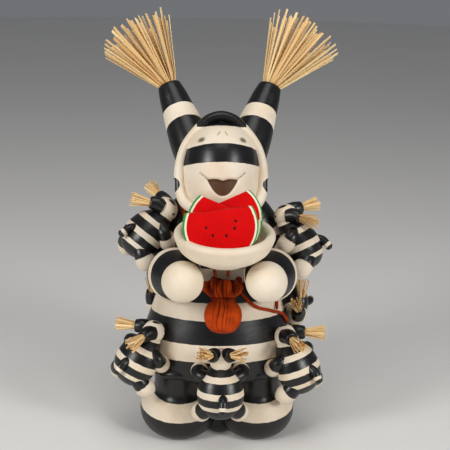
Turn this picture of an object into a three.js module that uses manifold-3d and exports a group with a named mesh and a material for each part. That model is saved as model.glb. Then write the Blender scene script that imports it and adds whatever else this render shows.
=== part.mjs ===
// Pueblo clown storyteller: a standing striped clay figure that holds a bowl of melon slices,
// with seven small clowns climbing over it. Millimetres, +Z up, the front faces -Y,
// the origin is on the floor at the middle of the figure's overall box.

import * as THREE from 'three';
import { mergeVertices } from 'three/addons/utils/BufferGeometryUtils.js';
import Module from 'manifold-3d';

const wasm = await Module();
wasm.setup();

// Driving dimensions of the standing figure
const SEAM = 0.3;                 // clearance where one piece is set against another

const FOOT_HALF_WIDTH = 39.5;
const FOOT_HALF_LENGTH = 43;
const FOOT_HEIGHT = 46;
const FOOT_SPACING = 77;          // centre of one foot to centre of the other
const FOOT_Y = -33;
const LEG_RADIUS = 25;
const LEG_DEPTH = 30;
const THIGH_RADIUS = 31;
const THIGH_DEPTH = 33;
const THIGH_HALF_HEIGHT = 11;

const HEM_Z = 62;                 // height of the body's lower edge, from which all above is placed
const THIGH_RISE = 8;             // middle of the hips above the hem
const HEAD_RISE = 204;            // middle of the head above the hem
const NECK_SINK = 30;             // how far the body's top stays below the middle of the head
const TORSO_HEIGHT = HEAD_RISE - NECK_SINK;
const TORSO_HALF_WIDTH = 79;
const TORSO_HALF_DEPTH = 62;
const TORSO_Y = -11;
const TORSO_LEAN = 0.055;         // how far the torso's middle runs back for each mm of height

const HEAD_CENTRE = new THREE.Vector3(0, -5, HEM_Z + HEAD_RISE);
const HEAD_TILT = THREE.MathUtils.degToRad(20);
const SKULL_HALF_WIDTH = 43.5;
const SKULL_HALF_DEPTH = 42;
const SKULL_SET_BACK = 8;
const SKULL_HALF_HEIGHT = 46;
const RIM_HALF_WIDTH = 40.5;
const RIM_TUBE = 5.3;
const FACE_HALF_WIDTH = 39;
const FACE_REACH = 43;
const FACE_SET_BACK = 4;
const EAR_RADIUS = 6.2;
const EAR_DEPTH = 1.2;
const EAR_FORWARD = 12.5;
const MOUTH_WIDTH = 28;
const MOUTH_HEIGHT = 15.5;
const MOUTH_DEPTH = 3;
const EYE_RADIUS = 4;

const HORN_ROOT = new THREE.Vector3(22, 5, 6);   // start of a horn's middle line from the head's middle
const HORN_SPREAD = 28.5;         // how far it then runs outwards, back and up
const HORN_SWEEP = 45;
const HORN_RISE = 65;
const HORN_ROOT_RADIUS = 20.5;
const HORN_TIP_RADIUS = 9.7;
const HORN_SOCKET_RADIUS = 7.6;
const HORN_SOCKET_DEPTH = 12;

const ELBOW_SPREAD = 47;          // from the middle of the figure out to an elbow
const HAND_SPREAD = 38;           // and out to the middle of a hand
const SHOULDER_RADIUS = 22;
const ARM_RADIUS = 24;
const FOREARM_RADIUS = 22.5;
const CUFF_RADIUS = 25;
const WRIST_RADIUS = 15;
const ELBOW_RADIUS = 25;
const HAND_RADIUS = 19;
const ELBOW_Y = -34;
const FOREARM_REACH = 81;         // from the elbow forwards to the middle of the hand

// Straw tassels
const STRAW_COUNT = 26;
const STRAW_LENGTH = 80;
const STRAW_WIDTH = 2.4;
const STRAW_SPREAD = THREE.MathUtils.degToRad(27);
const STRAW_SPLAY = 0.26;         // how far the fans lean outwards from the horns' own line
const STRAW_ROOT = 0.9;           // how deep the straws start below the horn's edge
const GOLDEN_ANGLE = Math.PI * (3 - Math.sqrt(5));
const SMALL_STRAW_COUNT = 5;
const SMALL_STRAW_LENGTH = 20;
const SMALL_STRAW_WIDTH = 1.5;
const SMALL_STRAW_SPREAD = THREE.MathUtils.degToRad(8);

// Bowl and melon
const BOWL_RADIUS = 44.5;
const BOWL_HEIGHT = 29;
const BOWL_WALL = 6;
const BOWL_FOOT_RADIUS = 21;
const BOWL_TILT = THREE.MathUtils.degToRad(5);
const SLICE_RADIUS = 33.5;
const SLICE_THICKNESS = 8;
const SLICE_TOP = 15;             // height of the cut edge above the round's centre

// Pouch and its suede lace
const POUCH_LENGTH = 54;
const POUCH_WIDTH = 36;
const POUCH_DEPTH = 17;
const LACE_DIAMETER = 3;

// Small clowns
const CHILD_HALF_WIDTH = 22.5;
const CHILD_HALF_DEPTH = 18;
const CHILD_HALF_LENGTH = 25;
const CHILD_HEAD_RADIUS = 12;
const CHILD_HORN_RADIUS = 7.2;
const CHILD_SOCKET_RADIUS = 3.6;
const CHILD_SOCKET_DEPTH = 4;
const CHILD_ARM_RADIUS = 6.6;
const CHILD_LEG_RADIUS = 8.4;
const CHILD_TAIL_RADIUS = 4.6;

// Clearing of slivers after joins and cuts
const JOIN_REACH = 5;
const JOIN_TOLERANCE = 0.32;
const CUT_TOLERANCE = 0.15;

// Finishes
const clay = { color: 0xece0c8, roughness: 0.6, metalness: 0 };
const straw = { color: 0xdcb470, roughness: 0.7, metalness: 0 };
const melon = { color: 0xd8161c, roughness: 0.4, metalness: 0 };
const suede = { color: 0xb4480f, roughness: 0.85, metalness: 0 };

const vec = (x, y, z) => new THREE.Vector3(x, y, z);

// Place given by its height above the hem
const fromHem = (x, y, up) => vec(x, y, HEM_Z + up);

// Place along the forearm, from the elbow (0) to the middle of the hand (1)
const forearm = (share) => ELBOW_Y - share * FOREARM_REACH;

const BOWL_CENTRE = fromHem(0, forearm(0.79), 139);

// Turns a three.js geometry into a solid that can be joined and cut
function solidOf(geometry) {
  const bare = new THREE.BufferGeometry();
  bare.setAttribute('position', geometry.getAttribute('position').clone());
  if (geometry.index) bare.setIndex(geometry.index.clone());
  const merged = mergeVertices(bare, 1e-4);
  return new wasm.Manifold(new wasm.Mesh({
    numProp: 3,
    vertProperties: new Float32Array(merged.getAttribute('position').array),
    triVerts: new Uint32Array(merged.index.array),
  }));
}

// Turns a solid back into a three.js geometry
function geometryOf(solid) {
  const mesh = solid.getMesh();
  const geometry = new THREE.BufferGeometry();
  geometry.setAttribute('position', new THREE.BufferAttribute(new Float32Array(mesh.vertProperties), 3));
  geometry.setIndex(new THREE.BufferAttribute(new Uint32Array(mesh.triVerts), 1));
  return geometry;
}

const joined = (solids) => solids.reduce((sum, next) => sum.add(next));

// Whether moving vertex a onto vertex b keeps the skin closed, unfolded and within the tolerance
function canCollapse(a, b, points, facesOf, tolerance) {
  const neighbours = (v) => new Set([...facesOf[v]].flat().filter((w) => w !== v));
  const around = neighbours(b);
  if ([...neighbours(a)].filter((w) => around.has(w)).length !== 2) return false;
  const shift = points[b].clone().sub(points[a]);
  const before = new THREE.Triangle();
  const after = new THREE.Triangle();
  const was = new THREE.Vector3();
  const is = new THREE.Vector3();
  for (const face of facesOf[a]) {
    before.set(...face.map((v) => points[v])).getNormal(was);
    if (Math.abs(was.dot(shift)) > tolerance) return false;
    if (face.includes(b)) continue;
    after.set(...face.map((v) => points[v === a ? b : v])).getNormal(is);
    if (after.getArea() < 0.02 || was.dot(is) < 0.5) return false;
  }
  return true;
}

// Clears away the slivers that joins leave: short edges close up where the form stays within tolerance
function tidied(solid, reach, tolerance) {
  const mesh = solid.getMesh();
  const points = [];
  for (let i = 0; i < mesh.vertProperties.length; i += 3) {
    points.push(vec(...mesh.vertProperties.slice(i, i + 3)));
  }
  const facesOf = points.map(() => new Set());
  for (let i = 0; i < mesh.triVerts.length; i += 3) {
    const face = [...mesh.triVerts.slice(i, i + 3)];
    for (const v of face) facesOf[v].add(face);
  }
  let moved = true;
  while (moved) {
    moved = false;
    for (let a = 0; a < points.length; a += 1) {
      const near = [...new Set([...facesOf[a]].flat())].filter((v) => v !== a);
      near.sort((v, w) => points[a].distanceTo(points[v]) - points[a].distanceTo(points[w]));
      const b = near.find((v) => points[a].distanceTo(points[v]) < reach
        && canCollapse(a, v, points, facesOf, tolerance));
      if (b === undefined) continue;
      for (const face of [...facesOf[a]]) {
        if (face.includes(b)) for (const v of face) facesOf[v].delete(face);
        else {
          face[face.indexOf(a)] = b;
          facesOf[b].add(face);
        }
      }
      facesOf[a].clear();
      moved = true;
    }
  }
  const faces = new Set(facesOf.flatMap((set) => [...set]));
  const geometry = new THREE.BufferGeometry();
  geometry.setAttribute('position', new THREE.Float32BufferAttribute(points.flatMap((p) => p.toArray()), 3));
  geometry.setIndex([...faces].flat());
  return solidOf(geometry);
}

// Closed skin over a stack of rings, each an array of the same number of points, with flat ends
function loft(rings) {
  const sides = rings[0].length;
  const positions = [];
  for (const ring of rings) for (const p of ring) positions.push(p.x, p.y, p.z);
  const index = [];
  for (let i = 0; i + 1 < rings.length; i += 1) {
    for (let j = 0; j < sides; j += 1) {
      const k = (j + 1) % sides;
      const a = i * sides + j;
      const b = i * sides + k;
      index.push(a, b, b + sides, a, b + sides, a + sides);
    }
  }
  const last = (rings.length - 1) * sides;
  for (let j = 1; j + 1 < sides; j += 1) {
    index.push(0, j + 1, j);
    index.push(last, last + j, last + j + 1);
  }
  const geometry = new THREE.BufferGeometry();
  geometry.setAttribute('position', new THREE.Float32BufferAttribute(positions, 3));
  geometry.setIndex(index);
  return geometry;
}

// Upright stack of ovals: each level is [height, half width, half depth, middle y, middle x]
function ovalStack(levels, sides, grow = 0) {
  const rings = levels.map(([z, halfWidth, halfDepth, y = 0, x = 0], i) => {
    const lift = i === 0 ? -grow : (i === levels.length - 1 ? grow : 0);
    const ring = [];
    for (let j = 0; j < sides; j += 1) {
      const turn = (2 * Math.PI * j) / sides;
      const out = (halfWidth + grow) * Math.cos(turn);
      const back = (halfDepth + grow) * Math.sin(turn);
      ring.push(vec(x + out, y + back, z + lift));
    }
    return ring;
  });
  return loft(rings);
}

// Round limb along a smooth path, its radius running smoothly through the given values
function limb(points, radii, sides, steps, grow = 0) {
  const path = new THREE.CatmullRomCurve3(points);
  const frames = path.computeFrenetFrames(steps, false);
  const rings = [];
  for (let i = 0; i <= steps; i += 1) {
    const t = i / steps;
    const slot = Math.min(t * (radii.length - 1), radii.length - 1.0001);
    const low = Math.floor(slot);
    const radius = THREE.MathUtils.lerp(radii[low], radii[low + 1], slot - low) + grow;
    const centre = path.getPoint(t);
    if (i === 0) centre.addScaledVector(frames.tangents[0], -grow);
    if (i === steps) centre.addScaledVector(frames.tangents[steps], grow);
    const ring = [];
    for (let j = 0; j < sides; j += 1) {
      const turn = (2 * Math.PI * j) / sides;
      const point = centre.clone();
      point.addScaledVector(frames.normals[i], radius * Math.cos(turn));
      point.addScaledVector(frames.binormals[i], radius * Math.sin(turn));
      ring.push(point);
    }
    rings.push(ring);
  }
  return loft(rings);
}

// Ball or egg with its poles along z
function ball(centre, radii, sides, levels, grow = 0) {
  const geometry = new THREE.SphereGeometry(1, sides, levels);
  geometry.rotateX(Math.PI / 2);
  geometry.scale(radii.x + grow, radii.y + grow, radii.z + grow);
  geometry.translate(centre.x, centre.y, centre.z);
  return geometry;
}

// One leg on its round foot; side is -1 or 1
function legAndFoot(side, grow) {
  const x = side * FOOT_SPACING / 2;
  const w = FOOT_HALF_WIDTH;
  const l = FOOT_HALF_LENGTH;
  const h = FOOT_HEIGHT;
  const foot = ovalStack([
    [0, 0.63 * w, 0.7 * l, FOOT_Y, x],
    [0.14 * h, 0.84 * w, 0.88 * l, FOOT_Y, x],
    [0.46 * h, w, l, FOOT_Y, x],
    [0.66 * h, 0.97 * w, 0.97 * l, FOOT_Y, x],
    [0.82 * h, 0.85 * w, 0.87 * l, FOOT_Y, x],
    [0.93 * h, 0.71 * w, 0.76 * l, FOOT_Y, x],
    [h, LEG_RADIUS, LEG_DEPTH, FOOT_Y, x],
    [HEM_Z + THIGH_RISE, LEG_RADIUS, LEG_DEPTH, FOOT_Y, x],
  ], 18, grow);
  const thighSize = vec(THIGH_RADIUS, THIGH_DEPTH, THIGH_HALF_HEIGHT);
  const thigh = ball(fromHem(x, FOOT_Y, THIGH_RISE), thighSize, 14, 6, grow);
  return solidOf(foot).add(solidOf(thigh));
}

// Pear-shaped body from the hem up to the neck
function torso(grow) {
  const profile = [
    [0, 0.86, 0.84], [0.03, 0.99, 0.99], [0.12, 0.99, 0.99], [0.24, 0.925, 0.94],
    [0.37, 0.825, 0.855], [0.5, 0.735, 0.775], [0.68, 0.63, 0.68], [0.9, 0.49, 0.55], [1, 0.3, 0.36],
  ];
  const levels = profile.map(([share, width, depth]) => {
    const y = TORSO_Y + TORSO_LEAN * share * TORSO_HEIGHT;
    return [HEM_Z + share * TORSO_HEIGHT, width * TORSO_HALF_WIDTH, depth * TORSO_HALF_DEPTH, y];
  });
  return solidOf(ovalStack(levels, 24, grow));
}

// Puts a point of the head's own frame (x, forwards, up) into the figure
function headPoint(x, forward, up) {
  const c = Math.cos(HEAD_TILT);
  const s = Math.sin(HEAD_TILT);
  return vec(x, HEAD_CENTRE.y - forward * c + up * s, HEAD_CENTRE.z + forward * s + up * c);
}

// Matrix that carries a shape built round the head's own axes (x, back, up) into the figure
function headMatrix() {
  const turn = new THREE.Matrix4().makeRotationX(-HEAD_TILT);
  return new THREE.Matrix4().makeTranslation(HEAD_CENTRE).multiply(turn);
}

// Centre line of the rounded hood edge round the face
function rimCurve() {
  const w = RIM_HALF_WIDTH;
  const h = SKULL_HALF_HEIGHT;
  const half = [
    [0, 14, 1.05 * h], [0.29 * w, 13.5, 0.98 * h], [0.46 * w, 13, 0.85 * h], [0.7 * w, 12, 0.61 * h],
    [0.87 * w, 11, 0.36 * h], [0.98 * w, 11, 0], [w, 12, -0.33 * h], [0.97 * w, 13.5, -0.57 * h],
    [0.84 * w, 16.5, -0.8 * h], [0.47 * w, 20, -0.97 * h],
  ];
  const points = half.map(([x, forward, up]) => headPoint(x, forward, up));
  const mirrored = half.slice(1).reverse().map(([x, forward, up]) => headPoint(-x, forward, up));
  points.push(headPoint(0, 21, -0.98 * h));
  return new THREE.CatmullRomCurve3([...points, ...mirrored], true);
}

// The hood edge as a closed ring of round section
function hoodRim(grow) {
  const steps = 24;
  const sides = 7;
  const curve = rimCurve();
  const middle = headPoint(0, 13, 0);
  const rings = [];
  for (let i = 0; i < steps; i += 1) {
    const centre = curve.getPoint(i / steps);
    const along = curve.getTangent(i / steps);
    const outward = centre.clone().sub(middle);
    outward.addScaledVector(along, -outward.dot(along)).normalize();
    const across = new THREE.Vector3().crossVectors(along, outward);
    const ring = [];
    for (let j = 0; j < sides; j += 1) {
      const turn = (2 * Math.PI * j) / sides;
      const point = centre.clone();
      point.addScaledVector(outward, (RIM_TUBE + grow) * Math.cos(turn));
      point.addScaledVector(across, (RIM_TUBE + grow) * Math.sin(turn));
      ring.push(point);
    }
    rings.push(ring);
  }
  const positions = rings.flat().flatMap((p) => [p.x, p.y, p.z]);
  const index = [];
  for (let i = 0; i < steps; i += 1) {
    const next = (i + 1) % steps;
    for (let j = 0; j < sides; j += 1) {
      const k = (j + 1) % sides;
      index.push(i * sides + j, i * sides + k, next * sides + k);
      index.push(i * sides + j, next * sides + k, next * sides + j);
    }
  }
  const geometry = new THREE.BufferGeometry();
  geometry.setAttribute('position', new THREE.Float32BufferAttribute(positions, 3));
  geometry.setIndex(index);
  return solidOf(geometry);
}

// Outline of the laughing mouth, flat top with a dip and a round chin side
function mouthShape() {
  const w = MOUTH_WIDTH / 2;
  const h = MOUTH_HEIGHT;
  const shape = new THREE.Shape();
  shape.moveTo(-w, 0);
  shape.quadraticCurveTo(-w * 0.5, 1, 0, -1);
  shape.quadraticCurveTo(w * 0.5, 1, w, 0);
  shape.bezierCurveTo(w * 0.85, -h * 0.6, w * 0.45, -h, 0, -h);
  shape.bezierCurveTo(-w * 0.45, -h, -w * 0.85, -h * 0.6, -w, 0);
  return shape;
}

// Skull, hood edge and face, with the mouth and the eyes sunk into the face
function head(grow) {
  const frame = headMatrix();
  const skullSize = vec(SKULL_HALF_WIDTH, SKULL_HALF_DEPTH, SKULL_HALF_HEIGHT);
  const skull = ball(vec(0, SKULL_SET_BACK, 0), skullSize, 18, 9, grow);
  skull.applyMatrix4(frame);
  const levels = [
    [-0.95, 0.5, 0.5], [-0.88, 0.76, 0.76], [-0.7, 0.93, 0.92], [-0.4, 1, 0.985], [0, 1, 1],
    [0.32, 0.95, 0.965], [0.58, 0.83, 0.87], [0.78, 0.64, 0.71], [0.9, 0.38, 0.47],
  ];
  const depth = FACE_REACH + FACE_SET_BACK;
  const face = ovalStack(levels.map(([up, width, reach]) => (
    [up * SKULL_HALF_HEIGHT, width * FACE_HALF_WIDTH, reach * depth, FACE_SET_BACK]
  )), 18, grow);
  face.applyMatrix4(frame);
  return joined([solidOf(skull), hoodRim(grow), solidOf(face)]);
}

// What is cut out of the head: mouth, eye pits and the two pressed ear discs
function headCuts() {
  const frame = headMatrix();
  const mouth = new THREE.ExtrudeGeometry(mouthShape(), { depth: 20, bevelEnabled: false, curveSegments: 6 });
  mouth.rotateX(Math.PI / 2);
  mouth.translate(0, -FACE_REACH + MOUTH_DEPTH, -15.5);
  mouth.applyMatrix4(frame);
  const cuts = [solidOf(mouth)];
  for (const side of [-1, 1]) {
    const eye = ball(vec(side * 20.5, -36.8, 23), vec(EYE_RADIUS, 3, 2.2), 10, 6);
    eye.applyMatrix4(frame);
    cuts.push(solidOf(eye));
    const ear = new THREE.CylinderGeometry(EAR_RADIUS, EAR_RADIUS, 10, 12);
    ear.rotateZ(Math.PI / 2);
    ear.translate(side * (RIM_HALF_WIDTH + RIM_TUBE + 5 - EAR_DEPTH), -EAR_FORWARD, -19);
    ear.applyMatrix4(frame);
    cuts.push(solidOf(ear));
  }
  return joined(cuts);
}

// Path of one horn's middle, from inside the head to its flat tip
function hornPoints(side) {
  const shares = [[0, 0, 0], [0.21, 0.2, 0.185], [0.445, 0.467, 0.431], [0.69, 0.733, 0.677], [1, 1, 1]];
  return shares.map(([spread, sweep, rise]) => {
    const x = HORN_ROOT.x + spread * HORN_SPREAD;
    const y = HORN_ROOT.y + sweep * HORN_SWEEP;
    const z = HORN_ROOT.z + rise * HORN_RISE;
    return vec(side * x, HEAD_CENTRE.y + y, HEAD_CENTRE.z + z);
  });
}

function horn(side, grow) {
  const r = HORN_ROOT_RADIUS;
  const radii = [r, r, r * 0.96, r * 0.87, r * 0.71, HORN_TIP_RADIUS];
  return solidOf(limb(hornPoints(side), radii, 12, 5, grow));
}

// Tip of a path and the direction in which it leaves
function endOf(points) {
  const path = new THREE.CatmullRomCurve3(points);
  return { tip: path.getPoint(1), along: path.getTangent(1) };
}

// Straight round bar from a point along a direction
function bar(start, along, length, radius, sides) {
  const geometry = new THREE.CylinderGeometry(radius, radius, length, sides);
  geometry.rotateX(Math.PI / 2);
  geometry.translate(0, 0, length / 2);
  const turn = new THREE.Quaternion().setFromUnitVectors(vec(0, 0, 1), along.clone().normalize());
  geometry.applyQuaternion(turn);
  geometry.translate(start.x, start.y, start.z);
  return geometry;
}

function hornSocket(side) {
  const { tip, along } = endOf(hornPoints(side));
  const start = tip.clone().addScaledVector(along, -HORN_SOCKET_DEPTH);
  return solidOf(bar(start, along, HORN_SOCKET_DEPTH + 4, HORN_SOCKET_RADIUS, 10));
}

// Path of one arm, from the shoulder round the elbow and up to the wrist
function armPoints(side) {
  const out = (inset) => side * (ELBOW_SPREAD - inset);
  return [
    fromHem(out(14), 3, 150), fromHem(out(3), 2, 130), fromHem(out(0), -10, 110),
    fromHem(out(0.5), ELBOW_Y, 103.5), fromHem(out(1.5), forearm(0.35), 111),
    fromHem(out(2.5), forearm(0.62), 121), fromHem(side * (HAND_SPREAD + 1), forearm(0.91), 124.5),
  ];
}

const handCentre = (side) => fromHem(side * HAND_SPREAD, forearm(1), 125);

function arm(side, grow) {
  const upper = [SHOULDER_RADIUS, ARM_RADIUS, ELBOW_RADIUS, ELBOW_RADIUS];
  const radii = [...upper, FOREARM_RADIUS, CUFF_RADIUS, WRIST_RADIUS];
  const size = vec(HAND_RADIUS, HAND_RADIUS, HAND_RADIUS);
  const sleeve = solidOf(limb(armPoints(side), radii, 12, 7, grow));
  const shoulderSize = vec(SHOULDER_RADIUS, SHOULDER_RADIUS, SHOULDER_RADIUS);
  const shoulder = solidOf(ball(armPoints(side)[0], shoulderSize, 12, 6, grow));
  return joined([sleeve, shoulder, solidOf(ball(handCentre(side), size, 14, 8, grow))]);
}

// The whole standing figure, thickened by grow where it is used to cut what sits on it
function figureSolid(grow) {
  const solids = [torso(grow), head(grow)];
  for (const side of [-1, 1]) solids.push(legAndFoot(side, grow), horn(side, grow), arm(side, grow));
  return joined(solids);
}

// Fan of single straws that spring from one plug in the horn's socket, joined into one body
function bigTassel(side) {
  const { tip, along } = endOf(hornPoints(side));
  const start = tip.clone().addScaledVector(along, SEAM - HORN_SOCKET_DEPTH);
  const fan = along.clone().add(vec(side * STRAW_SPLAY, 0, 0)).normalize();
  const plug = bar(start, along, HORN_SOCKET_DEPTH - SEAM, HORN_SOCKET_RADIUS - SEAM, 10);
  const solids = [solidOf(plug)];
  const turn = new THREE.Quaternion().setFromUnitVectors(vec(0, 0, 1), fan);
  for (let i = 0; i < STRAW_COUNT; i += 1) {
    const share = Math.sqrt((i + 0.5) / STRAW_COUNT);
    const angle = i * GOLDEN_ANGLE;
    const lean = STRAW_SPREAD * share;
    const direction = vec(Math.sin(lean) * Math.cos(angle), Math.sin(lean) * Math.sin(angle), Math.cos(lean));
    const root = vec(Math.cos(angle), Math.sin(angle), 0);
    root.multiplyScalar((HORN_SOCKET_RADIUS - SEAM - STRAW_WIDTH) * share);
    direction.applyQuaternion(turn);
    root.applyQuaternion(turn).add(tip).addScaledVector(along, -STRAW_ROOT);
    const reach = (STRAW_ROOT + STRAW_LENGTH) * (0.94 + 0.06 * Math.cos(5 * i));
    solids.push(solidOf(bar(root, direction, reach, STRAW_WIDTH / 2, 3)));
  }
  return tidied(joined(solids), JOIN_REACH, CUT_TOLERANCE);
}

// Right-handed frame from a place, the way up and the way forwards, with its size against the usual one
function frameOf(at, up, front, size) {
  const z = up.clone().normalize();
  const y = front.clone().addScaledVector(z, -front.dot(z)).normalize();
  const x = new THREE.Vector3().crossVectors(y, z);
  return new THREE.Matrix4().makeBasis(x, y, z).scale(vec(size, size, size)).setPosition(at);
}

// Small clown's body with arms and legs: z runs up its back, y points at the grown-up it clings to
function childBody(handHeight) {
  const w = CHILD_HALF_WIDTH;
  const d = CHILD_HALF_DEPTH;
  const l = CHILD_HALF_LENGTH;
  const trunk = ovalStack([
    [-l, 0.4 * w, 0.4 * d, 1], [-0.75 * l, 0.78 * w, 0.78 * d, 0.5], [-0.25 * l, w, d],
    [0.4 * l, 0.9 * w, 0.9 * d], [0.78 * l, 0.64 * w, 0.68 * d, 1], [1.05 * l, 0.4 * w, 0.5 * d, 2],
  ], 12);
  const solids = [solidOf(trunk)];
  for (const side of [-1, 1]) {
    const sleeve = [
      vec(side * 13, -1, 13), vec(side * 20, 2, 0.5 * (13 + handHeight)),
      vec(side * 20, 9, handHeight), vec(side * 19, 18, handHeight - 1),
    ];
    const r = CHILD_ARM_RADIUS;
    solids.push(solidOf(limb(sleeve, [r, r, 1.15 * r, 0.6 * r], 6, 3)));
    const trouser = [
      vec(side * 9, -1, -13), vec(side * 16, 3, -18), vec(side * 18, 9, -20), vec(side * 18.5, 18, -21),
    ];
    const q = CHILD_LEG_RADIUS;
    solids.push(solidOf(limb(trouser, [q, q, 1.08 * q, 0.6 * q], 6, 3)));
  }
  const tail = [vec(1, -12, -2), vec(1.5, -19, -8), vec(1, -21.5, -17)];
  const t = CHILD_TAIL_RADIUS;
  solids.push(solidOf(limb(tail, [t, t, 0.8 * t], 5, 2)));
  return joined(solids);
}

// Path of a small horn in the head's own frame: back from the crown, then outwards
const childHornPoints = (side) => [
  vec(side * 5, -1, 3), vec(side * 6.6, -7.5, 4), vec(side * 10, -13.5, 3.5),
];

function childHead() {
  const r = CHILD_HEAD_RADIUS;
  const solids = [solidOf(ball(vec(0, 0, 0), vec(0.88 * r, 1.04 * r, r), 10, 6))];
  const h = CHILD_HORN_RADIUS;
  for (const side of [-1, 1]) {
    const cone = limb(childHornPoints(side), [h, h, 0.86 * h], 6, 2);
    const { tip, along } = endOf(childHornPoints(side));
    const start = tip.clone().addScaledVector(along, -CHILD_SOCKET_DEPTH);
    const socket = bar(start, along, CHILD_SOCKET_DEPTH + 2, CHILD_SOCKET_RADIUS, 6);
    solids.push(solidOf(cone).subtract(solidOf(socket)));
  }
  return joined(solids);
}

// Flared brush of cut straws: a round plug that opens into a jagged star
function childTassel(side) {
  const { tip, along } = endOf(childHornPoints(side));
  const turn = new THREE.Quaternion().setFromUnitVectors(vec(0, 0, 1), along);
  const plug = CHILD_SOCKET_RADIUS - SEAM - 0.4;
  const points = 2 * SMALL_STRAW_COUNT;
  const flare = plug + SMALL_STRAW_LENGTH * Math.tan(SMALL_STRAW_SPREAD);
  const ringAt = (height, radius, jag) => {
    const ring = [];
    for (let j = 0; j < points; j += 1) {
      const angle = (2 * Math.PI * j) / points;
      const out = radius * (j % 2 === 0 ? 1 : 1 - jag);
      const z = height - (j % 2 === 0 ? 0 : jag * SMALL_STRAW_WIDTH * 2);
      const p = vec(out * Math.cos(angle), out * Math.sin(angle), z);
      ring.push(p.applyQuaternion(turn).add(tip));
    }
    return ring;
  };
  const root = SEAM - CHILD_SOCKET_DEPTH;
  return loft([ringAt(root, plug, 0), ringAt(0.5, plug, 0), ringAt(SMALL_STRAW_LENGTH, flare, 0.4)]);
}

// How far out the small clowns hang: behind the hips, and before them, where the body is narrower
const HIP_SIDE = TORSO_HALF_WIDTH + 1;
const LEG_SIDE = 0.65 * TORSO_HALF_WIDTH + 28.65;

// Where each small clown clings: the middle of its body, the way its back runs and the way it faces;
// gaze is where the face points and crown where the top of the head points
const children = [
  {
    name: 'upper_right_arm', at: fromHem(-ELBOW_SPREAD - 26, -25, 143),
    up: vec(0.68, 0.28, 0.68), front: vec(0.6, 0.48, -0.64),
    gaze: vec(0.8, -0.35, -0.45), crown: vec(0.35, -0.25, 0.9),
  },
  {
    name: 'upper_left_arm', at: fromHem(ELBOW_SPREAD + 33, -25, 133),
    up: vec(-0.53, 0.28, 0.8), front: vec(-0.8, 0.1, -0.55),
    gaze: vec(-0.95, 0.2, -0.15), crown: vec(-0.15, -0.2, 0.97),
  },
  {
    name: 'lower_right_leg', at: fromHem(-LEG_SIDE, FOOT_Y - 25, 24),
    up: vec(0.5, 0.2, 0.84), front: vec(0.6, 0.73, -0.35),
    gaze: vec(0.92, 0.38, 0), crown: vec(0.1, -0.2, 0.98),
  },
  {
    name: 'lower_middle', at: fromHem(0, FOOT_Y - FOOT_HALF_LENGTH - 14, 4),
    up: vec(0, 0.34, 1), front: vec(0, 1, 0),
    gaze: vec(0, 0.85, -0.5), crown: vec(0, 0.5, 0.85), handHeight: 19,
  },
  {
    name: 'lower_left_leg', at: fromHem(LEG_SIDE - 3, FOOT_Y - 27, 17),
    up: vec(-0.38, 0.25, 0.88), front: vec(-0.55, 0.78, -0.35),
    gaze: vec(-0.72, 0.66, -0.1), crown: vec(-0.12, 0.02, 0.98), size: 1.03,
  },
  {
    name: 'rear_left_hip', at: fromHem(HIP_SIDE, 30, 47),
    up: vec(-0.05, -1, 0.06), front: vec(-1, -0.2, 0),
    gaze: vec(0, 0.32, -0.95), crown: vec(0.97, -0.24, -0.08),
  },
  {
    name: 'rear_right_hip', at: fromHem(38 - HIP_SIDE, TORSO_Y + TORSO_HALF_DEPTH - 3, 42),
    up: vec(-0.6, -0.75, 0.25), front: vec(0.75, -0.6, 0),
    gaze: vec(-0.1, -0.2, -0.95), crown: vec(-0.95, 0.35, 0.03),
  },
];

const CHILD_NECK = vec(0, -2, CHILD_HALF_LENGTH + 5);

// Bowl with a thick rounded lip; grow thickens it outwards for cutting its neighbours
function bowlProfile(grow) {
  const r = BOWL_RADIUS + grow;
  const h = BOWL_HEIGHT;
  const lip = BOWL_WALL / 2 + grow;
  const points = [new THREE.Vector2(0, -grow), new THREE.Vector2(BOWL_FOOT_RADIUS + grow, -grow)];
  for (const turn of [-55, -30]) {
    const a = THREE.MathUtils.degToRad(turn);
    points.push(new THREE.Vector2(r * Math.cos(a), h * 0.78 + (h * 0.8 + grow) * Math.sin(a)));
  }
  const lipCentre = new THREE.Vector2(BOWL_RADIUS - BOWL_WALL / 2, h - BOWL_WALL / 2);
  for (const turn of [-10, 35, 90, 145]) {
    const a = THREE.MathUtils.degToRad(turn);
    points.push(new THREE.Vector2(lipCentre.x + lip * Math.cos(a), lipCentre.y + lip * Math.sin(a)));
  }
  const inner = BOWL_RADIUS - BOWL_WALL - grow;
  for (const turn of [-30, -60]) {
    const a = THREE.MathUtils.degToRad(turn);
    const sunk = (h * 0.78 - BOWL_WALL - grow) * Math.sin(a);
    points.push(new THREE.Vector2(inner * Math.cos(a), h * 0.78 + sunk));
  }
  points.push(new THREE.Vector2(0, BOWL_WALL + grow));
  return points;
}

function bowlMatrix() {
  const turn = new THREE.Matrix4().makeRotationX(BOWL_TILT);
  return new THREE.Matrix4().makeTranslation(BOWL_CENTRE).multiply(turn);
}

function bowlSolid(grow) {
  const geometry = new THREE.LatheGeometry(bowlProfile(grow), 26);
  geometry.rotateX(Math.PI / 2);
  geometry.applyMatrix4(bowlMatrix());
  return solidOf(geometry);
}

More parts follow.
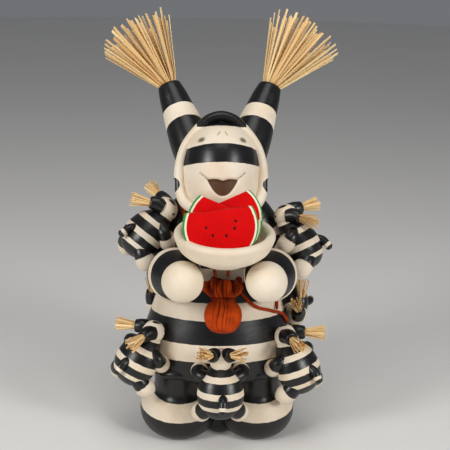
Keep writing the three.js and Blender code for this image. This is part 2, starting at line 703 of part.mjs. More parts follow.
// Round melon slice cut straight across its top, standing on its rind; at is its middle from the bowl's
function sliceSolid({ at, lean, roll, turn }) {
  const half = Math.acos(SLICE_TOP / SLICE_RADIUS);
  const shape = new THREE.Shape();
  shape.absarc(0, 0, SLICE_RADIUS, Math.PI / 2 + half, Math.PI / 2 - half + 2 * Math.PI, false);
  shape.closePath();
  const geometry = new THREE.ExtrudeGeometry(shape, {
    depth: SLICE_THICKNESS, bevelEnabled: false, curveSegments: 14,
  });
  geometry.translate(0, 0, -SLICE_THICKNESS / 2);
  geometry.rotateX(Math.PI / 2);
  geometry.rotateY(roll);
  geometry.rotateX(-lean);
  geometry.rotateZ(turn);
  geometry.translate(at.x, at.y, at.z);
  geometry.translate(BOWL_CENTRE.x, BOWL_CENTRE.y, BOWL_CENTRE.z);
  return solidOf(geometry);
}

const slices = [
  { name: 'melon_slice_front', at: vec(-5, -19, 39), lean: 0.16, roll: -0.1, turn: 0.08 },
  { name: 'melon_slice_left', at: vec(-1, -6.5, 38), lean: 0.24, roll: 0.4, turn: 0.04 },
  { name: 'melon_slice_right', at: vec(1, 6.5, 39), lean: 0.3, roll: -0.42, turn: 0 },
];

// Gathered suede bag, round below its tied neck and ruffled above it
function pouchSolid() {
  const w = POUCH_WIDTH / 2;
  const d = POUCH_DEPTH / 2;
  const l = POUCH_LENGTH;
  const geometry = ovalStack([
    [-l, 0.3 * w, 0.3 * d], [-0.95 * l, 0.62 * w, 0.7 * d], [-0.84 * l, 0.9 * w, 0.95 * d],
    [-0.7 * l, w, d], [-0.55 * l, 0.92 * w, d], [-0.43 * l, 0.7 * w, 0.85 * d],
    [-0.36 * l, 0.66 * w, 0.75 * d],
    [-0.26 * l, 0.95 * w, d], [-0.12 * l, 1.02 * w, 1.05 * d], [0, 0.8 * w, 0.8 * d],
  ], 16);
  const lean = new THREE.Matrix4().makeRotationX(-0.28);
  geometry.applyMatrix4(lean);
  geometry.translate(2, -58, HEM_Z + 109);
  return geometry;
}

// Neck lace, its right half: up from the bag's top over the chest and shoulder to behind the neck
const neckLacePoints = [
  fromHem(-6, -60.8, 110.8), fromHem(-6.3, -59.5, 115), fromHem(-8, -55, 121), fromHem(-11.5, -48.5, 128),
  fromHem(-16, -42.5, 135), fromHem(-22, -37, 143), fromHem(-29, -29.5, 151.5), fromHem(-34.5, -20.5, 158),
  fromHem(-36.5, -15.5, 163.5), fromHem(-39.5, -10, 168.5), fromHem(-41.5, -2, 171.5), fromHem(-42, 7, 171.5),
  fromHem(-37, 16, 170.5), fromHem(-26, 25.5, 168.5), fromHem(-13.5, 32.3, 165.3), fromHem(0, 34.8, 163.7),
];

// Loose tail of the draw lace, over the belly to the small clown behind the hip
const tailPoints = [
  fromHem(17.4, -57.4, 93.8), fromHem(19.3, -55.2, 92.5), fromHem(21.3, -53.8, 90), fromHem(24.5, -53, 86),
  fromHem(27.7, -53.1, 82.4), fromHem(31, -52, 79), fromHem(34.4, -50.8, 76.3), fromHem(38, -49, 74),
  fromHem(42.2, -47, 72.2), fromHem(46.5, -44.5, 70.5), fromHem(50, -41.9, 68.7), fromHem(53.5, -39, 66.5),
  fromHem(56.8, -36.2, 65), fromHem(60, -33, 63), fromHem(63.4, -29.1, 60.1), fromHem(66, -26, 56.5),
  fromHem(70, -23, 49.5),
];

// Its other end, which leaves the tail under the elbow and lies up over the elbow's outer side
const endPoints = [
  fromHem(57, -37.8, 68.7), fromHem(57.3, -35.2, 70), fromHem(57.4, -32.9, 71.2),
  fromHem(57.5, -30.9, 73), fromHem(57.8, -29.5, 75.5), fromHem(58.8, -28.9, 78.5),
  fromHem(60.4, -28.8, 81.4), fromHem(62.3, -28, 83.6), fromHem(64.6, -26.2, 85.4),
  fromHem(66.8, -23.7, 88), fromHem(68.6, -20.9, 91), fromHem(69.6, -17.4, 94.1),
  fromHem(70.1, -13.5, 97), fromHem(70.1, -9.5, 99.6), fromHem(70, -5.5, 102),
];

function lace(points, steps, sides) {
  const path = new THREE.CatmullRomCurve3(points);
  const section = new THREE.Shape();
  section.absarc(0, 0, LACE_DIAMETER / 2, 0, 2 * Math.PI, false);
  const options = { steps, bevelEnabled: false, extrudePath: path, curveSegments: sides / 2 };
  return new THREE.ExtrudeGeometry(section, options);
}

// Meshes of the finished model
const model = new THREE.Group();

function addPiece(name, geometry, finish) {
  const mesh = new THREE.Mesh(geometry, new THREE.MeshStandardMaterial(finish));
  mesh.name = name;
  model.add(mesh);
  return mesh;
}

const sockets = joined([hornSocket(-1), hornSocket(1)]);
const figure = tidied(figureSolid(0).subtract(headCuts()).subtract(sockets), JOIN_REACH, JOIN_TOLERANCE);
addPiece('storyteller', geometryOf(figure), clay);

const figureCutter = figureSolid(SEAM);
for (const { name, at, up, front, gaze, crown, size = 1, handHeight = 8 } of children) {
  const bodyFrame = frameOf(at, up, front, size);
  const headFrame = frameOf(CHILD_NECK.clone().applyMatrix4(bodyFrame), crown, gaze, size);
  const body = geometryOf(childBody(handHeight)).applyMatrix4(bodyFrame);
  const top = geometryOf(childHead()).applyMatrix4(headFrame);
  const whole = tidied(solidOf(body).add(solidOf(top)), JOIN_REACH, JOIN_TOLERANCE);
  const fitted = tidied(whole.subtract(figureCutter), JOIN_REACH, CUT_TOLERANCE);
  addPiece(`child_${name}`, geometryOf(fitted), clay);
  for (const side of [-1, 1]) {
    const label = side < 0 ? 'a' : 'b';
    addPiece(`child_${name}_tassel_${label}`, childTassel(side).applyMatrix4(headFrame), straw);
  }
}

addPiece('horn_tassel_right', geometryOf(bigTassel(-1)), straw);
addPiece('horn_tassel_left', geometryOf(bigTassel(1)), straw);

const bowl = bowlSolid(0).subtract(figureCutter);
addPiece('bowl', geometryOf(bowl), clay);
const bowlCutter = bowlSolid(SEAM);
for (const slice of slices) {
  addPiece(slice.name, geometryOf(sliceSolid(slice).subtract(bowlCutter)), melon);
}

addPiece('pouch', geometryOf(solidOf(pouchSolid()).subtract(figureCutter)), suede);

const mirroredLace = neckLacePoints.slice(0, -1).reverse().map((p) => vec(-p.x, p.y, p.z));
addPiece('neck_lace', lace([...neckLacePoints, ...mirroredLace], 34, 8), suede);
addPiece('lace_tail', lace(tailPoints, 10, 8), suede);
addPiece('lace_end', lace(endPoints, 8, 8), suede);

// The origin goes to the floor below the middle of the whole box
const middle = new THREE.Box3().setFromObject(model).getCenter(new THREE.Vector3());
model.position.set(-middle.x, -middle.y, 0);

export default model;
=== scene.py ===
"""Dresses the clay storyteller clown: striped slip, straw tassels, melon bowl, suede pouch, small clowns.

Shapes are worked out in millimetres in the figure's own frame (front faces -Y, floor at z = 0) and are
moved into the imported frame, in metres, when a mesh is made.
"""

import logging
import math
from dataclasses import dataclass, field
from enum import Enum
from typing import Any, Sequence

import bmesh
import bpy
import numpy as np
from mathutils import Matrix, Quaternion, Vector


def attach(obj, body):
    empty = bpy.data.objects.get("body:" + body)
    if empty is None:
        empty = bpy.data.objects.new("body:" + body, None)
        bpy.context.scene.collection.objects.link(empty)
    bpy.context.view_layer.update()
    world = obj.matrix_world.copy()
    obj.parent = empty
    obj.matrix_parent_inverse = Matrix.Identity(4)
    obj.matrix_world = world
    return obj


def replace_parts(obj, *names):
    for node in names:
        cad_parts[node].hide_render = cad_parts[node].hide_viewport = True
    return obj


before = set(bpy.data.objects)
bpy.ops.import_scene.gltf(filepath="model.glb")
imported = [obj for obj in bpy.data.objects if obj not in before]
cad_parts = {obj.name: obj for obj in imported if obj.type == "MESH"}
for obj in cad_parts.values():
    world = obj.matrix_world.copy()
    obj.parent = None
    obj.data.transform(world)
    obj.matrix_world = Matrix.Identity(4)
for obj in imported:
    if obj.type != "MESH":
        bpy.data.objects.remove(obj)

log = logging.getLogger("storyteller")

Triple = tuple[float, float, float]

MM = 0.001
SHIFT = np.array([3.5124, 17.7665, 0.0])  # from the figure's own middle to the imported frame's origin
BARE = -9.0  # signed distance that stands for no paint nearby, in mm
COVERED = 5.0  # signed distance that stands for paint all over, in mm
NEAR_POLE = 88.0  # how close to its poles a ball's rings go, in degrees
PATH_STEP = 0.004  # share of a path on either side of a ring that gives its direction


class Side(Enum):
    """The figure's own right and left, as the sign of x."""

    RIGHT = -1
    LEFT = 1


class Slot(Enum):
    """The record's material slots."""

    CLAY = "clay"
    STRAW = "straw"
    MELON = "melon"
    SUEDE = "suede"


class Ends(Enum):
    """How a thong ends and lies, as the cord's far end and lay."""

    TIED = ("object", "hanging")
    LOOSE = ("bare", "loose")


# Shapes


def unit(rows: np.ndarray) -> np.ndarray:
    """Each vector divided by its length."""
    return rows / np.maximum(np.linalg.norm(rows, axis=-1, keepdims=True), 1e-9)


def turns(count: int) -> np.ndarray:
    """Evenly spaced angles round a ring."""
    return np.linspace(0, 2 * np.pi, count, endpoint=False)


def smooth_through(stops: np.ndarray, at: np.ndarray) -> np.ndarray:
    """Smooth curve through given stops.

    It is a cubic between neighbours, and its slope at a stop is the mean slope round it.

    Args:
        stops: Rows of a growing parameter followed by the values there.
        at: Parameters to read the curve at.

    Returns:
        One row of values for each parameter.
    """
    s, v = stops[:, 0], stops[:, 1:]
    if len(s) > 2:
        slope = np.gradient(v, s, axis=0)
    else:
        slope = np.repeat(np.diff(v, axis=0) / np.diff(s)[:, None], 2, 0)
    slope[1:-1] = (v[2:] - v[:-2]) / (s[2:] - s[:-2])[:, None]
    i = np.clip(np.searchsorted(s, at, side="right") - 1, 0, len(s) - 2)
    h = (s[i + 1] - s[i])[:, None]
    t = (at - s[i])[:, None] / h
    start, end = v[i], v[i + 1]
    bend = t * (1 - t) * ((1 - t) * (slope[i] * h - (end - start)) - t * (slope[i + 1] * h - (end - start)))
    return start + (end - start) * t + bend


def arc_of(points: np.ndarray) -> np.ndarray:
    """Length along a line of points up to each of them."""
    steps = np.linalg.norm(np.diff(points, axis=0), axis=1)
    return np.concatenate([[0.0], np.cumsum(steps)])


def bands(value: np.ndarray, edges: Sequence[float]) -> np.ndarray:
    """Signed distance to the nearest edge of a stack of stripes, of which the first is black.

    Args:
        value: Height, or length along a limb, in mm.
        edges: Where black and cream meet, growing.

    Returns:
        The distance, positive where a stripe is black.
    """
    lines = np.asarray(edges, float)
    near = np.abs(value[..., None] - lines).min(-1)
    cream = np.searchsorted(lines, value) % 2 == 1
    return np.where(cream, -near, near)


@dataclass
class Skin:
    """Closed shells of rings of points, with what is painted on them.

    Attributes:
        points: Shells x rings x points round x 3, in mm.
        marks: Values for each point under the name of the attribute that carries them.
        looped: Whether the last ring joins the first, as on a hoop.
    """

    points: np.ndarray
    marks: dict[str, np.ndarray] = field(default_factory=dict)
    looped: bool = False

    def __post_init__(self) -> None:
        """A single shell is stored as a batch of one."""
        if self.points.ndim == 3:
            self.points = self.points[None]
            self.marks = {name: value[None] for name, value in self.marks.items()}

    def painted(self, mark: str, value: Any) -> "Skin":
        """Keeps a mark that is given for each point, for each ring or once for all, and returns the skin."""
        self.marks[mark] = np.broadcast_to(value, self.points.shape[:3]).copy()
        return self

    def moved(self, matrix: np.ndarray) -> "Skin":
        """The same shells carried by a 4 x 4 matrix."""
        points = self.points @ matrix[:3, :3].T + matrix[:3, 3]
        return Skin(points, self.marks, self.looped)

    def faces(self, start: int) -> list[tuple[int, ...]]:
        """Quads between neighbouring rings, and fans from a middle point over each open end.

        Args:
            start: Index of the first point in the whole mesh.

        Returns:
            The point numbers of each face.
        """
        shells, rows, around, _ = self.points.shape
        first = start + np.arange(shells)[:, None, None] * rows * around
        row = np.arange(rows if self.looped else rows - 1)[None, :, None]
        j = np.arange(around)[None, None, :]
        k = (j + 1) % around
        below, above = first + row * around, first + (row + 1) % rows * around
        quads = np.stack(np.broadcast_arrays(below + j, below + k, above + k, above + j), -1).reshape(-1, 4)
        found = [tuple(quad) for quad in quads.tolist()]
        if self.looped:
            return found
        middles = start + shells * rows * around + 2 * np.arange(shells)[:, None]
        low = first[:, 0, :] + 0 * j[0]
        high = low + (rows - 1) * around
        caps = [
            np.stack(np.broadcast_arrays(middles, low + k[0], low + j[0]), -1),
            np.stack(np.broadcast_arrays(middles + 1, high + j[0], high + k[0]), -1),
        ]
        return found + [tuple(fan) for fan in np.concatenate(caps).reshape(-1, 3).tolist()]

    def flat(self, values: np.ndarray) -> np.ndarray:
        """Puts a grid of values in the mesh's order.

        Args:
            values: A value or vector for each point.

        Returns:
            One row for each vertex: the grid's values, then the means of each shell's end rings.
        """
        width = values.shape[3:] if values.ndim > 3 else ()
        grid = values.reshape((-1,) + width)
        if self.looped:
            return grid
        ends = np.stack([values[:, 0].mean(1), values[:, -1].mean(1)], 1)
        return np.concatenate([grid, ends.reshape((-1,) + width)])


@dataclass(frozen=True)
class Coat:
    """What a finished piece is made of.

    Attributes:
        material: Its nodes.
        slot: The record's slot that it belongs to; not used.
        blank: Attributes that the nodes read, with their value where a shell says nothing.
        smooth: Whether the faces shade smoothly.
    """

    material: bpy.types.Material
    slot: Slot
    blank: dict[str, float]
    smooth: bool = True

    def piece(self, name: str, node: str, skins: Sequence[Skin]) -> bpy.types.Object:
        """Joins shells into one finished object at the origin, its place in its mesh.

        Args:
            name: The piece's name.
            node: The solid that it stands for.
            skins: The shells, in the figure's frame and in mm.

        Returns:
            The linked object, riding on the root body.
        """
        points, faces, marks = [], [], {key: [] for key in (*self.blank, "stroke")}
        count = 0
        for skin in skins:
            flat = skin.flat(skin.points)
            faces += skin.faces(count)
            count += len(flat)
            points.append(flat)
            for key, value in self.blank.items():
                marks[key].append(skin.flat(skin.marks.get(key, np.full(skin.points.shape[:3], value))))
            marks["stroke"].append(skin.flat(skin.marks.get("stroke", skin.points)))
        mesh = bpy.data.meshes.new(name)
        mesh.from_pydata((np.concatenate(points) + SHIFT) * MM, [], faces)
        for key, parts in marks.items():
            kind, word = ("FLOAT_VECTOR", "vector") if key == "stroke" else ("FLOAT", "value")
            layer = mesh.attributes.new(key, kind, "POINT")
            layer.data.foreach_set(word, np.concatenate(parts).astype(np.float32).ravel())
        shell = bmesh.new()
        shell.from_mesh(mesh)
        bmesh.ops.recalc_face_normals(shell, faces=shell.faces)
        shell.to_mesh(mesh)
        shell.free()
        mesh.polygons.foreach_set("use_smooth", np.full(len(mesh.polygons), self.smooth))
        mesh.materials.append(self.material)
        mesh.update()
        thing = bpy.data.objects.new(name, mesh)
        bpy.context.scene.collection.objects.link(thing)
        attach(thing, "root")
        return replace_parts(thing, node)


def round_strokes(turn: np.ndarray, along: np.ndarray, reach: float = 6.0) -> np.ndarray:
    """Coordinates for burnishing marks that run round a form.

    Args:
        turn: Angle of each point round the form.
        along: Its length along the form, in mm.
        reach: How far apart the marks' two sides are read.

    Returns:
        Rows of (reach cos turn, reach sin turn, along).
    """
    turn, along = np.broadcast_arrays(turn, along)
    return np.stack([reach * np.cos(turn), reach * np.sin(turn), along], -1)


def sized(rows: Sequence[Sequence[float]], high: float, wide: float, deep: float) -> list[list[float]]:
    """Levels of an oval stack from shares of its height, half width and half depth; what follows is kept."""
    return [[z * high, w * wide, d * deep, *rest] for z, w, d, *rest in rows]


def oval_stack(levels: Sequence[Sequence[float]], rows: int, around: int) -> Skin:
    """Upright form whose section is an oval at every height.

    A point is (x + w cos turn, y + d sin turn, z), where z, w, d, y and x run smoothly through the levels
    by the length of the profile.

    Args:
        levels: Rows of height, half width, half depth, middle y and middle x.
        rows: Rings from bottom to top.
        around: Points in each ring.

    Returns:
        The form, with burnishing marks round it.
    """
    table = np.array([list(level) + [0.0] * (5 - len(level)) for level in levels], float)
    length = arc_of(table[:, :2])
    s = np.linspace(0, length[-1], rows)
    z, w, d, y, x = smooth_through(np.column_stack([length, table]), s).T[:, :, None]
    turn = turns(around)[None]
    points = np.stack([x + w * np.cos(turn), y + d * np.sin(turn), z + 0 * turn], -1)
    return Skin(points, {"stroke": round_strokes(turn, s[:, None])})


def ball(centre: Sequence[float], radii: Sequence[float], rows: int, around: int) -> Skin:
    """Egg with its poles along z: centre + radii x (cos rise cos turn, cos rise sin turn, sin rise).

    Args:
        centre: Its middle.
        radii: Its half sizes along x, y and z.
        rows: Rings from pole to pole.
        around: Points in each ring.

    Returns:
        The egg, with burnishing marks round it.
    """
    rise = np.radians(np.linspace(-NEAR_POLE, NEAR_POLE, rows))[:, None]
    turn = turns(around)[None]
    shape = np.stack([np.cos(rise) * np.cos(turn), np.cos(rise) * np.sin(turn), np.sin(rise) + 0 * turn], -1)
    stroke = round_strokes(turn, rise * radii[2])
    return Skin(np.asarray(centre) + shape * np.asarray(radii), {"stroke": stroke})


@dataclass
class Limb:
    """Tube along a smooth path: path(s) + radius x (cos turn x normal + squash x sin turn x binormal).

    Attributes:
        path: Points that the middle line runs through, in mm.
        radii: Radius at evenly spaced places along it.
        hint: Direction, or one for each path point, that the normal leans to.
        dome: Length of the rounded end beyond the last point; 0 leaves it flat.
        root: The same at the first point.
        squash: Thickness across the normal as a share of the radius.
    """

    path: Sequence[Sequence[float]]
    radii: Sequence[float]
    hint: Sequence[float] = (1.0, 0.0, 0.0)
    dome: float = 0.0
    root: float = 0.0
    squash: float = 1.0

    def along(self, rows: int) -> tuple[np.ndarray, np.ndarray, np.ndarray]:
        """Places the rings; a rounded end is a quarter circle in eight more of them.

        Args:
            rows: Rings on the path itself.

        Returns:
            Share of the path, slide beyond its ends and factor on the radius, for each ring.
        """
        bend = np.linspace(0, np.pi / 2, 9)[1:] * 0.985
        s = np.linspace(0, 1, rows)
        slide, factor = np.zeros(rows), np.ones(rows)
        if self.dome:
            s = np.append(s, np.ones(len(bend)))
            slide = np.append(slide, self.dome * np.sin(bend))
            factor = np.append(factor, np.cos(bend))
        if self.root:
            s = np.append(np.zeros(len(bend)), s)
            slide = np.append(-self.root * np.sin(bend[::-1]), slide)
            factor = np.append(np.cos(bend[::-1]), factor)
        return s, slide, factor

    def build(self, rows: int, around: int) -> tuple[Skin, np.ndarray, np.ndarray]:
        """Carries the section along the path.

        Args:
            rows: Rings on the path itself.
            around: Points in each ring.

        Returns:
            The tube, the length of path up to each ring and the rings' share of the path.
        """
        path = np.asarray(self.path, float)
        knots = np.linspace(0, 1, len(path))
        curve = np.column_stack([knots, path])
        s, slide, factor = self.along(rows)
        centre = smooth_through(curve, s)
        ahead = smooth_through(curve, np.clip(s + PATH_STEP, 0, 1))
        behind = smooth_through(curve, np.clip(s - PATH_STEP, 0, 1))
        tangent = unit(ahead - behind)
        girth = np.column_stack([np.linspace(0, 1, len(self.radii)), np.asarray(self.radii, float)])
        radius = smooth_through(girth, s)[:, 0]
        hints = np.broadcast_to(np.asarray(self.hint, float), path.shape)
        hint = smooth_through(np.column_stack([knots, hints]), s)
        normal = unit(hint - (hint * tangent).sum(1, keepdims=True) * tangent)
        binormal = np.cross(tangent, normal)
        turn = turns(around)
        size = (radius * factor)[:, None, None]
        wide = np.cos(turn)[None, :, None] * normal[:, None]
        thin = self.squash * np.sin(turn)[None, :, None] * binormal[:, None]
        middle = centre + slide[:, None] * tangent
        length = arc_of(middle)
        stroke = round_strokes(turn[None], length[:, None], 3.0)
        return Skin(middle[:, None] + size * (wide + thin), {"stroke": stroke}), length, s


def end_of(path: Sequence[Sequence[float]]) -> tuple[np.ndarray, np.ndarray]:
    """Last point of a path and the direction in which it leaves."""
    points = np.asarray(path, float)
    knots = np.column_stack([np.linspace(0, 1, len(points)), points])
    tip, back = smooth_through(knots, np.array([1.0, 0.99]))
    return tip, unit(tip - back)


def lipped(skin: Skin, path: Sequence[Sequence[float]], bend: Sequence[Sequence[float]]) -> np.ndarray:
    """Adds a rounded lip and the start of a socket to a tube's end.

    Args:
        skin: The tube.
        path: Its middle line.
        bend: For each added ring, its slide beyond the end and its size against the last ring.

    Returns:
        The tube's rings of points followed by the lip's.
    """
    tip, along = end_of(path)
    slide, size = np.array(bend).T[:, :, None, None]
    lip = tip + slide * along + size * (skin.points[0, -1] - tip)[None]
    return np.concatenate([skin.points[0], lip])


def frame_of(
    at: Sequence[float], up: Sequence[float], front: Sequence[float], size: float = 1.0
) -> np.ndarray:
    """Puts a small form in its place.

    Args:
        at: Its place.
        up: The way its z runs.
        front: The way its y leans.
        size: Its scale.

    Returns:
        The 4 x 4 matrix.
    """
    z = unit(np.asarray(up, float))
    y = np.asarray(front, float)
    y = unit(y - y.dot(z) * z)
    matrix = np.eye(4)
    matrix[:3, :3] = np.column_stack([np.cross(y, z), y, z]) * size
    matrix[:3, 3] = at
    return matrix


def tipped(at: Sequence[float], angle: float) -> np.ndarray:
    """Matrix that turns by an angle about the x axis and then moves to a place."""
    c, s = math.cos(angle), math.sin(angle)
    return np.array([[1, 0, 0, at[0]], [0, c, -s, at[1]], [0, s, c, at[2]], [0, 0, 0, 1]])


def turned(axis: Sequence[float], to: Sequence[float]) -> np.ndarray:
    """Rotation that carries one direction onto another by the shortest way."""
    return np.array(Vector(axis).rotation_difference(Vector(to)).to_matrix())


# Finishes


class Value:
    """A shader socket that can be used in ordinary sums."""

    def __init__(self, bench: "Bench", socket: bpy.types.NodeSocket) -> None:
        """Keeps the socket and the bench that adds its sums."""
        self.bench = bench
        self.socket = socket

    def _sum(self, operation: str, *terms: Any) -> "Value":
        """One Math node."""
        return self.bench.make("ShaderNodeMath", {"operation": operation}, dict(enumerate(terms)))

    def __add__(self, other: Any) -> "Value":
        """self + other."""
        return self._sum("ADD", self, other)

    __radd__ = __add__

    def __sub__(self, other: Any) -> "Value":
        """self - other."""
        return self._sum("SUBTRACT", self, other)

    def __rsub__(self, other: Any) -> "Value":
        """other - self."""
        return self._sum("SUBTRACT", other, self)

    def __mul__(self, other: Any) -> "Value":
        """self times other."""
        return self._sum("MULTIPLY", self, other)

    __rmul__ = __mul__

    def clear(self, low: float, high: float) -> "Value":
        """0 below low, 1 above high, and an even rise between."""
        places = {"Value": self, "From Min": low, "From Max": high}
        return self.bench.make("ShaderNodeMapRange", {"clamp": True}, places)


class Bench:
    """The nodes of one material."""

    def __init__(self, name: str) -> None:
        """Makes the material of a given name, with its surface shader."""
        self.material = bpy.data.materials.new(name)
        self.material.use_nodes = True
        self.tree = self.material.node_tree
        self.surface = self.tree.nodes["Principled BSDF"]

    def make(self, kind: str, settings: dict[str, Any], inputs: dict[Any, Any], output: Any = 0) -> Value:
        """Adds any node.

        Args:
            kind: Blender's name for the node's type.
            settings: Properties, set first.
            inputs: Values or links for sockets, by name or number.
            output: Socket to return, by name or number.

        Returns:
            The output, ready for sums.
        """
        node = self.tree.nodes.new(kind)
        for key, value in settings.items():
            setattr(node, key, value)
        for key, value in inputs.items():
            self.set(node.inputs[key], value)
        return Value(self, node.outputs[output])

    def set(self, socket: bpy.types.NodeSocket, value: Any) -> None:
        """Links a value to a socket, or sets a plain number or colour on it."""
        if isinstance(value, Value):
            self.tree.links.new(value.socket, socket)
        elif isinstance(value, tuple) and len(value) == 3 and socket.type == "RGBA":
            socket.default_value = (*value, 1.0)
        else:
            socket.default_value = value

    def mark(self, name: str, vector: bool = False) -> Value:
        """An attribute that the piece's vertices carry."""
        return self.make("ShaderNodeAttribute", {"attribute_name": name}, {}, "Vector" if vector else "Fac")

    def place(self) -> Value:
        """Object coordinates, in metres."""
        return self.make("ShaderNodeTexCoord", {}, {}, "Object")

    def noise(self, where: Value, scale: float, detail: float = 2.0, rough: float = 0.5) -> Value:
        """Soft noise from 0 to 1."""
        inputs = {"Vector": where, "Scale": scale, "Detail": detail, "Roughness": rough}
        return self.make("ShaderNodeTexNoise", {}, inputs)

    def stretched(self, where: Value, by: Triple) -> Value:
        """Coordinates scaled apart along each axis."""
        return self.make("ShaderNodeVectorMath", {"operation": "MULTIPLY"}, {0: where, 1: by})

    def mix(self, share: Any, first: Any, second: Any) -> Value:
        """Colour that runs from first to second as share goes from 0 to 1."""
        return self.make("ShaderNodeMix", {"data_type": "RGBA"}, {0: share, 6: first, 7: second}, 2)

    def bump(self, height: Value, depth: float, strength: float) -> Value:
        """Surface relief from a height; depth is in metres for a height of 1."""
        return self.make("ShaderNodeBump", {}, {"Height": height, "Distance": depth, "Strength": strength})

    def finish(
        self, colour: Any, roughness: Any, normal: Any = None, **constants: float
    ) -> bpy.types.Material:
        """Feeds the surface shader and returns the material.

        Args:
            colour: Base colour.
            roughness: Roughness.
            normal: Relief, where there is any.
            constants: Numbers for other sockets, their names written with underscores.

        Returns:
            The material.
        """
        self.set(self.surface.inputs["Base Color"], colour)
        self.set(self.surface.inputs["Roughness"], roughness)
        if normal is not None:
            self.set(self.surface.inputs["Normal"], normal)
        for key, value in constants.items():
            self.set(self.surface.inputs[key.replace("_", " ")], value)
        return self.material


def srgb(red: int, green: int, blue: int) -> Triple:
    """Linear colour of a screen colour given from 0 to 255."""
    shares = [channel / 255 for channel in (red, green, blue)]
    return tuple(c / 12.92 if c <= 0.04045 else ((c + 0.055) / 1.055) ** 2.4 for c in shares)


@dataclass(frozen=True)
class ClayFinish:
    """Cream clay with stone-burnished black slip, brown mouth paint and painted shade in its pressed pits.

    Attributes:
        cream: The clay's own slip.
        warm: The same in its clouds and grains.
        black: Burnished slip.
        worn: The same where the stone rubbed it thin.
        brown: Paint in the mouth and on the small faces.
        light_brown: The same in its grains.
        pit_shade_colour: Painted shade in the pressed marks: the eye pits, laugh lines and nose marks.
        dull: Roughness of the bare cream.
        gloss: How much smoother the black is.
        relief: Depth of grain and burnishing, in metres.
    """

    cream: Triple = srgb(237, 225, 205)
    warm: Triple = srgb(226, 206, 178)
    black: Triple = srgb(11, 11, 12)
    worn: Triple = srgb(27, 28, 29)
    brown: Triple = srgb(68, 36, 8)
    light_brown: Triple = srgb(88, 54, 22)
    pit_shade_colour: Triple = srgb(112, 98, 64)
    dull: float = 0.56
    gloss: float = 0.34
    relief: float = 0.00016

    def coat(self) -> Coat:
        """Slip covers the clay where its signed distance, made a little uneven, is above 0."""
        b = Bench("painted_clay")
        where, stroke = b.place(), b.mark("stroke", True)
        cloud = b.noise(where, 38.0, 3.0)
        grain = b.noise(where, 900.0, 3.0, 0.6)
        rubbed = b.noise(b.stretched(stroke, (0.28, 0.28, 1.1)), 1.0, 3.0, 0.6)
        wobble = (b.noise(where, 150.0, 1.0) - 0.5) * 0.9 + (b.noise(where, 700.0, 1.0) - 0.5) * 0.35
        black = (b.mark("slip") + wobble).clear(-0.16, 0.16)
        brown = (b.mark("brown") + wobble * 0.4).clear(-0.2, 0.2)
        cream = b.mix(cloud.clear(0.32, 0.74), self.cream, self.warm)
        cream = b.mix(grain.clear(0.6, 0.82) * 0.35, cream, self.warm)
        # Painted shade: the pressed marks are darkened towards an olive tan.
        cream = b.mix(b.mark("pit"), cream, self.pit_shade_colour)
        slip = b.mix(rubbed.clear(0.42, 0.8) * 0.75, self.black, self.worn)
        colour = b.mix(brown, b.mix(black, cream, slip), b.mix(grain, self.brown, self.light_brown))
        roughness = self.dull + grain * 0.07 - black * (self.gloss - rubbed * 0.12)
        relief = b.bump(grain * 0.35 + rubbed * 0.9 + black * 0.12, self.relief, 0.7)
        material = b.finish(colour, roughness, relief, Specular_IOR_Level=0.5)
        return Coat(material, Slot.CLAY, {"slip": BARE, "brown": BARE, "pit": 0.0})


@dataclass(frozen=True)
class StrawFinish:
    """Split straw, streaked along its length, each strand of its own tone and with painted shade inside its
    socket.

    Attributes:
        pale: The lightest strands.
        deep: The darkest strands, and the painted shade on all of them inside their socket.
        relief: Depth of the streaks, in metres.
    """

    pale: Triple = srgb(254, 228, 172)
    deep: Triple = srgb(214, 164, 98)
    relief: float = 0.0002

    def coat(self) -> Coat:
        """The strand's own tone with its painted socket shade, and the streaks along it, run from pale to
        deep.
        """
        b = Bench("split_straw")
        streak = b.noise(b.stretched(b.mark("stroke", True), (0.8, 0.8, 0.02)), 1.0, 3.0, 0.6)
        shade = (b.mark("shade") * 0.75 + streak * 0.5).clear(0.12, 1.05)
        colour = b.mix(shade, self.pale, self.deep)
        relief = b.bump(streak, self.relief, 0.6)
        material = b.finish(colour, 0.5 + streak * 0.2, relief, Specular_IOR_Level=0.4)
        return Coat(material, Slot.STRAW, {"shade": 0.5}, smooth=False)


@dataclass(frozen=True)
class MelonFinish:
    """Painted melon: red flesh with small seeds, cream-white under a green rind.

    Attributes:
        red: Flesh.
        dark_red: The same in its clouds.
        white: The ring under the rind.
        green: Rind.
        light_green: The same in its clouds.
        seed: Seeds.
        rind_edge: Depths between which green gives way to white, in mm.
        flesh_edge: Depths between which white gives way to red, in mm.
        relief: Depth of the paint's grain, in metres.
    """

    red: Triple = srgb(216, 2, 4)
    dark_red: Triple = srgb(196, 1, 4)
    white: Triple = srgb(236, 236, 214)
    green: Triple = srgb(40, 128, 52)
    light_green: Triple = srgb(74, 164, 62)
    seed: Triple = srgb(46, 18, 10)
    rind_edge: tuple[float, float] = (1.0, 1.5)
    flesh_edge: tuple[float, float] = (2.7, 3.1)
    relief: float = 0.00012

    def coat(self) -> Coat:
        """The colours follow the depth below the rind, in mm, and the seeds' signed distance."""
        b = Bench("painted_melon")
        where = b.place()
        cloud, grain = b.noise(where, 90.0, 3.0), b.noise(where, 1100.0, 2.0)
        depth = b.mark("depth") + (b.noise(where, 260.0, 1.0) - 0.5) * 0.5
        flesh = b.mix(cloud.clear(0.35, 0.75) * 0.7, self.red, self.dark_red)
        flesh = b.mix((b.mark("seed") + (grain - 0.5) * 0.3).clear(-0.25, 0.25), flesh, self.seed)
        rind = b.mix(cloud, self.green, self.light_green)
        colour = b.mix(depth.clear(*self.rind_edge), rind, self.white)
        colour = b.mix(depth.clear(*self.flesh_edge), colour, flesh)
        relief = b.bump(grain + cloud, self.relief, 0.6)
        material = b.finish(colour, 0.42 + grain * 0.12, relief, Specular_IOR_Level=0.12)
        return Coat(material, Slot.MELON, {"depth": -BARE, "seed": BARE})


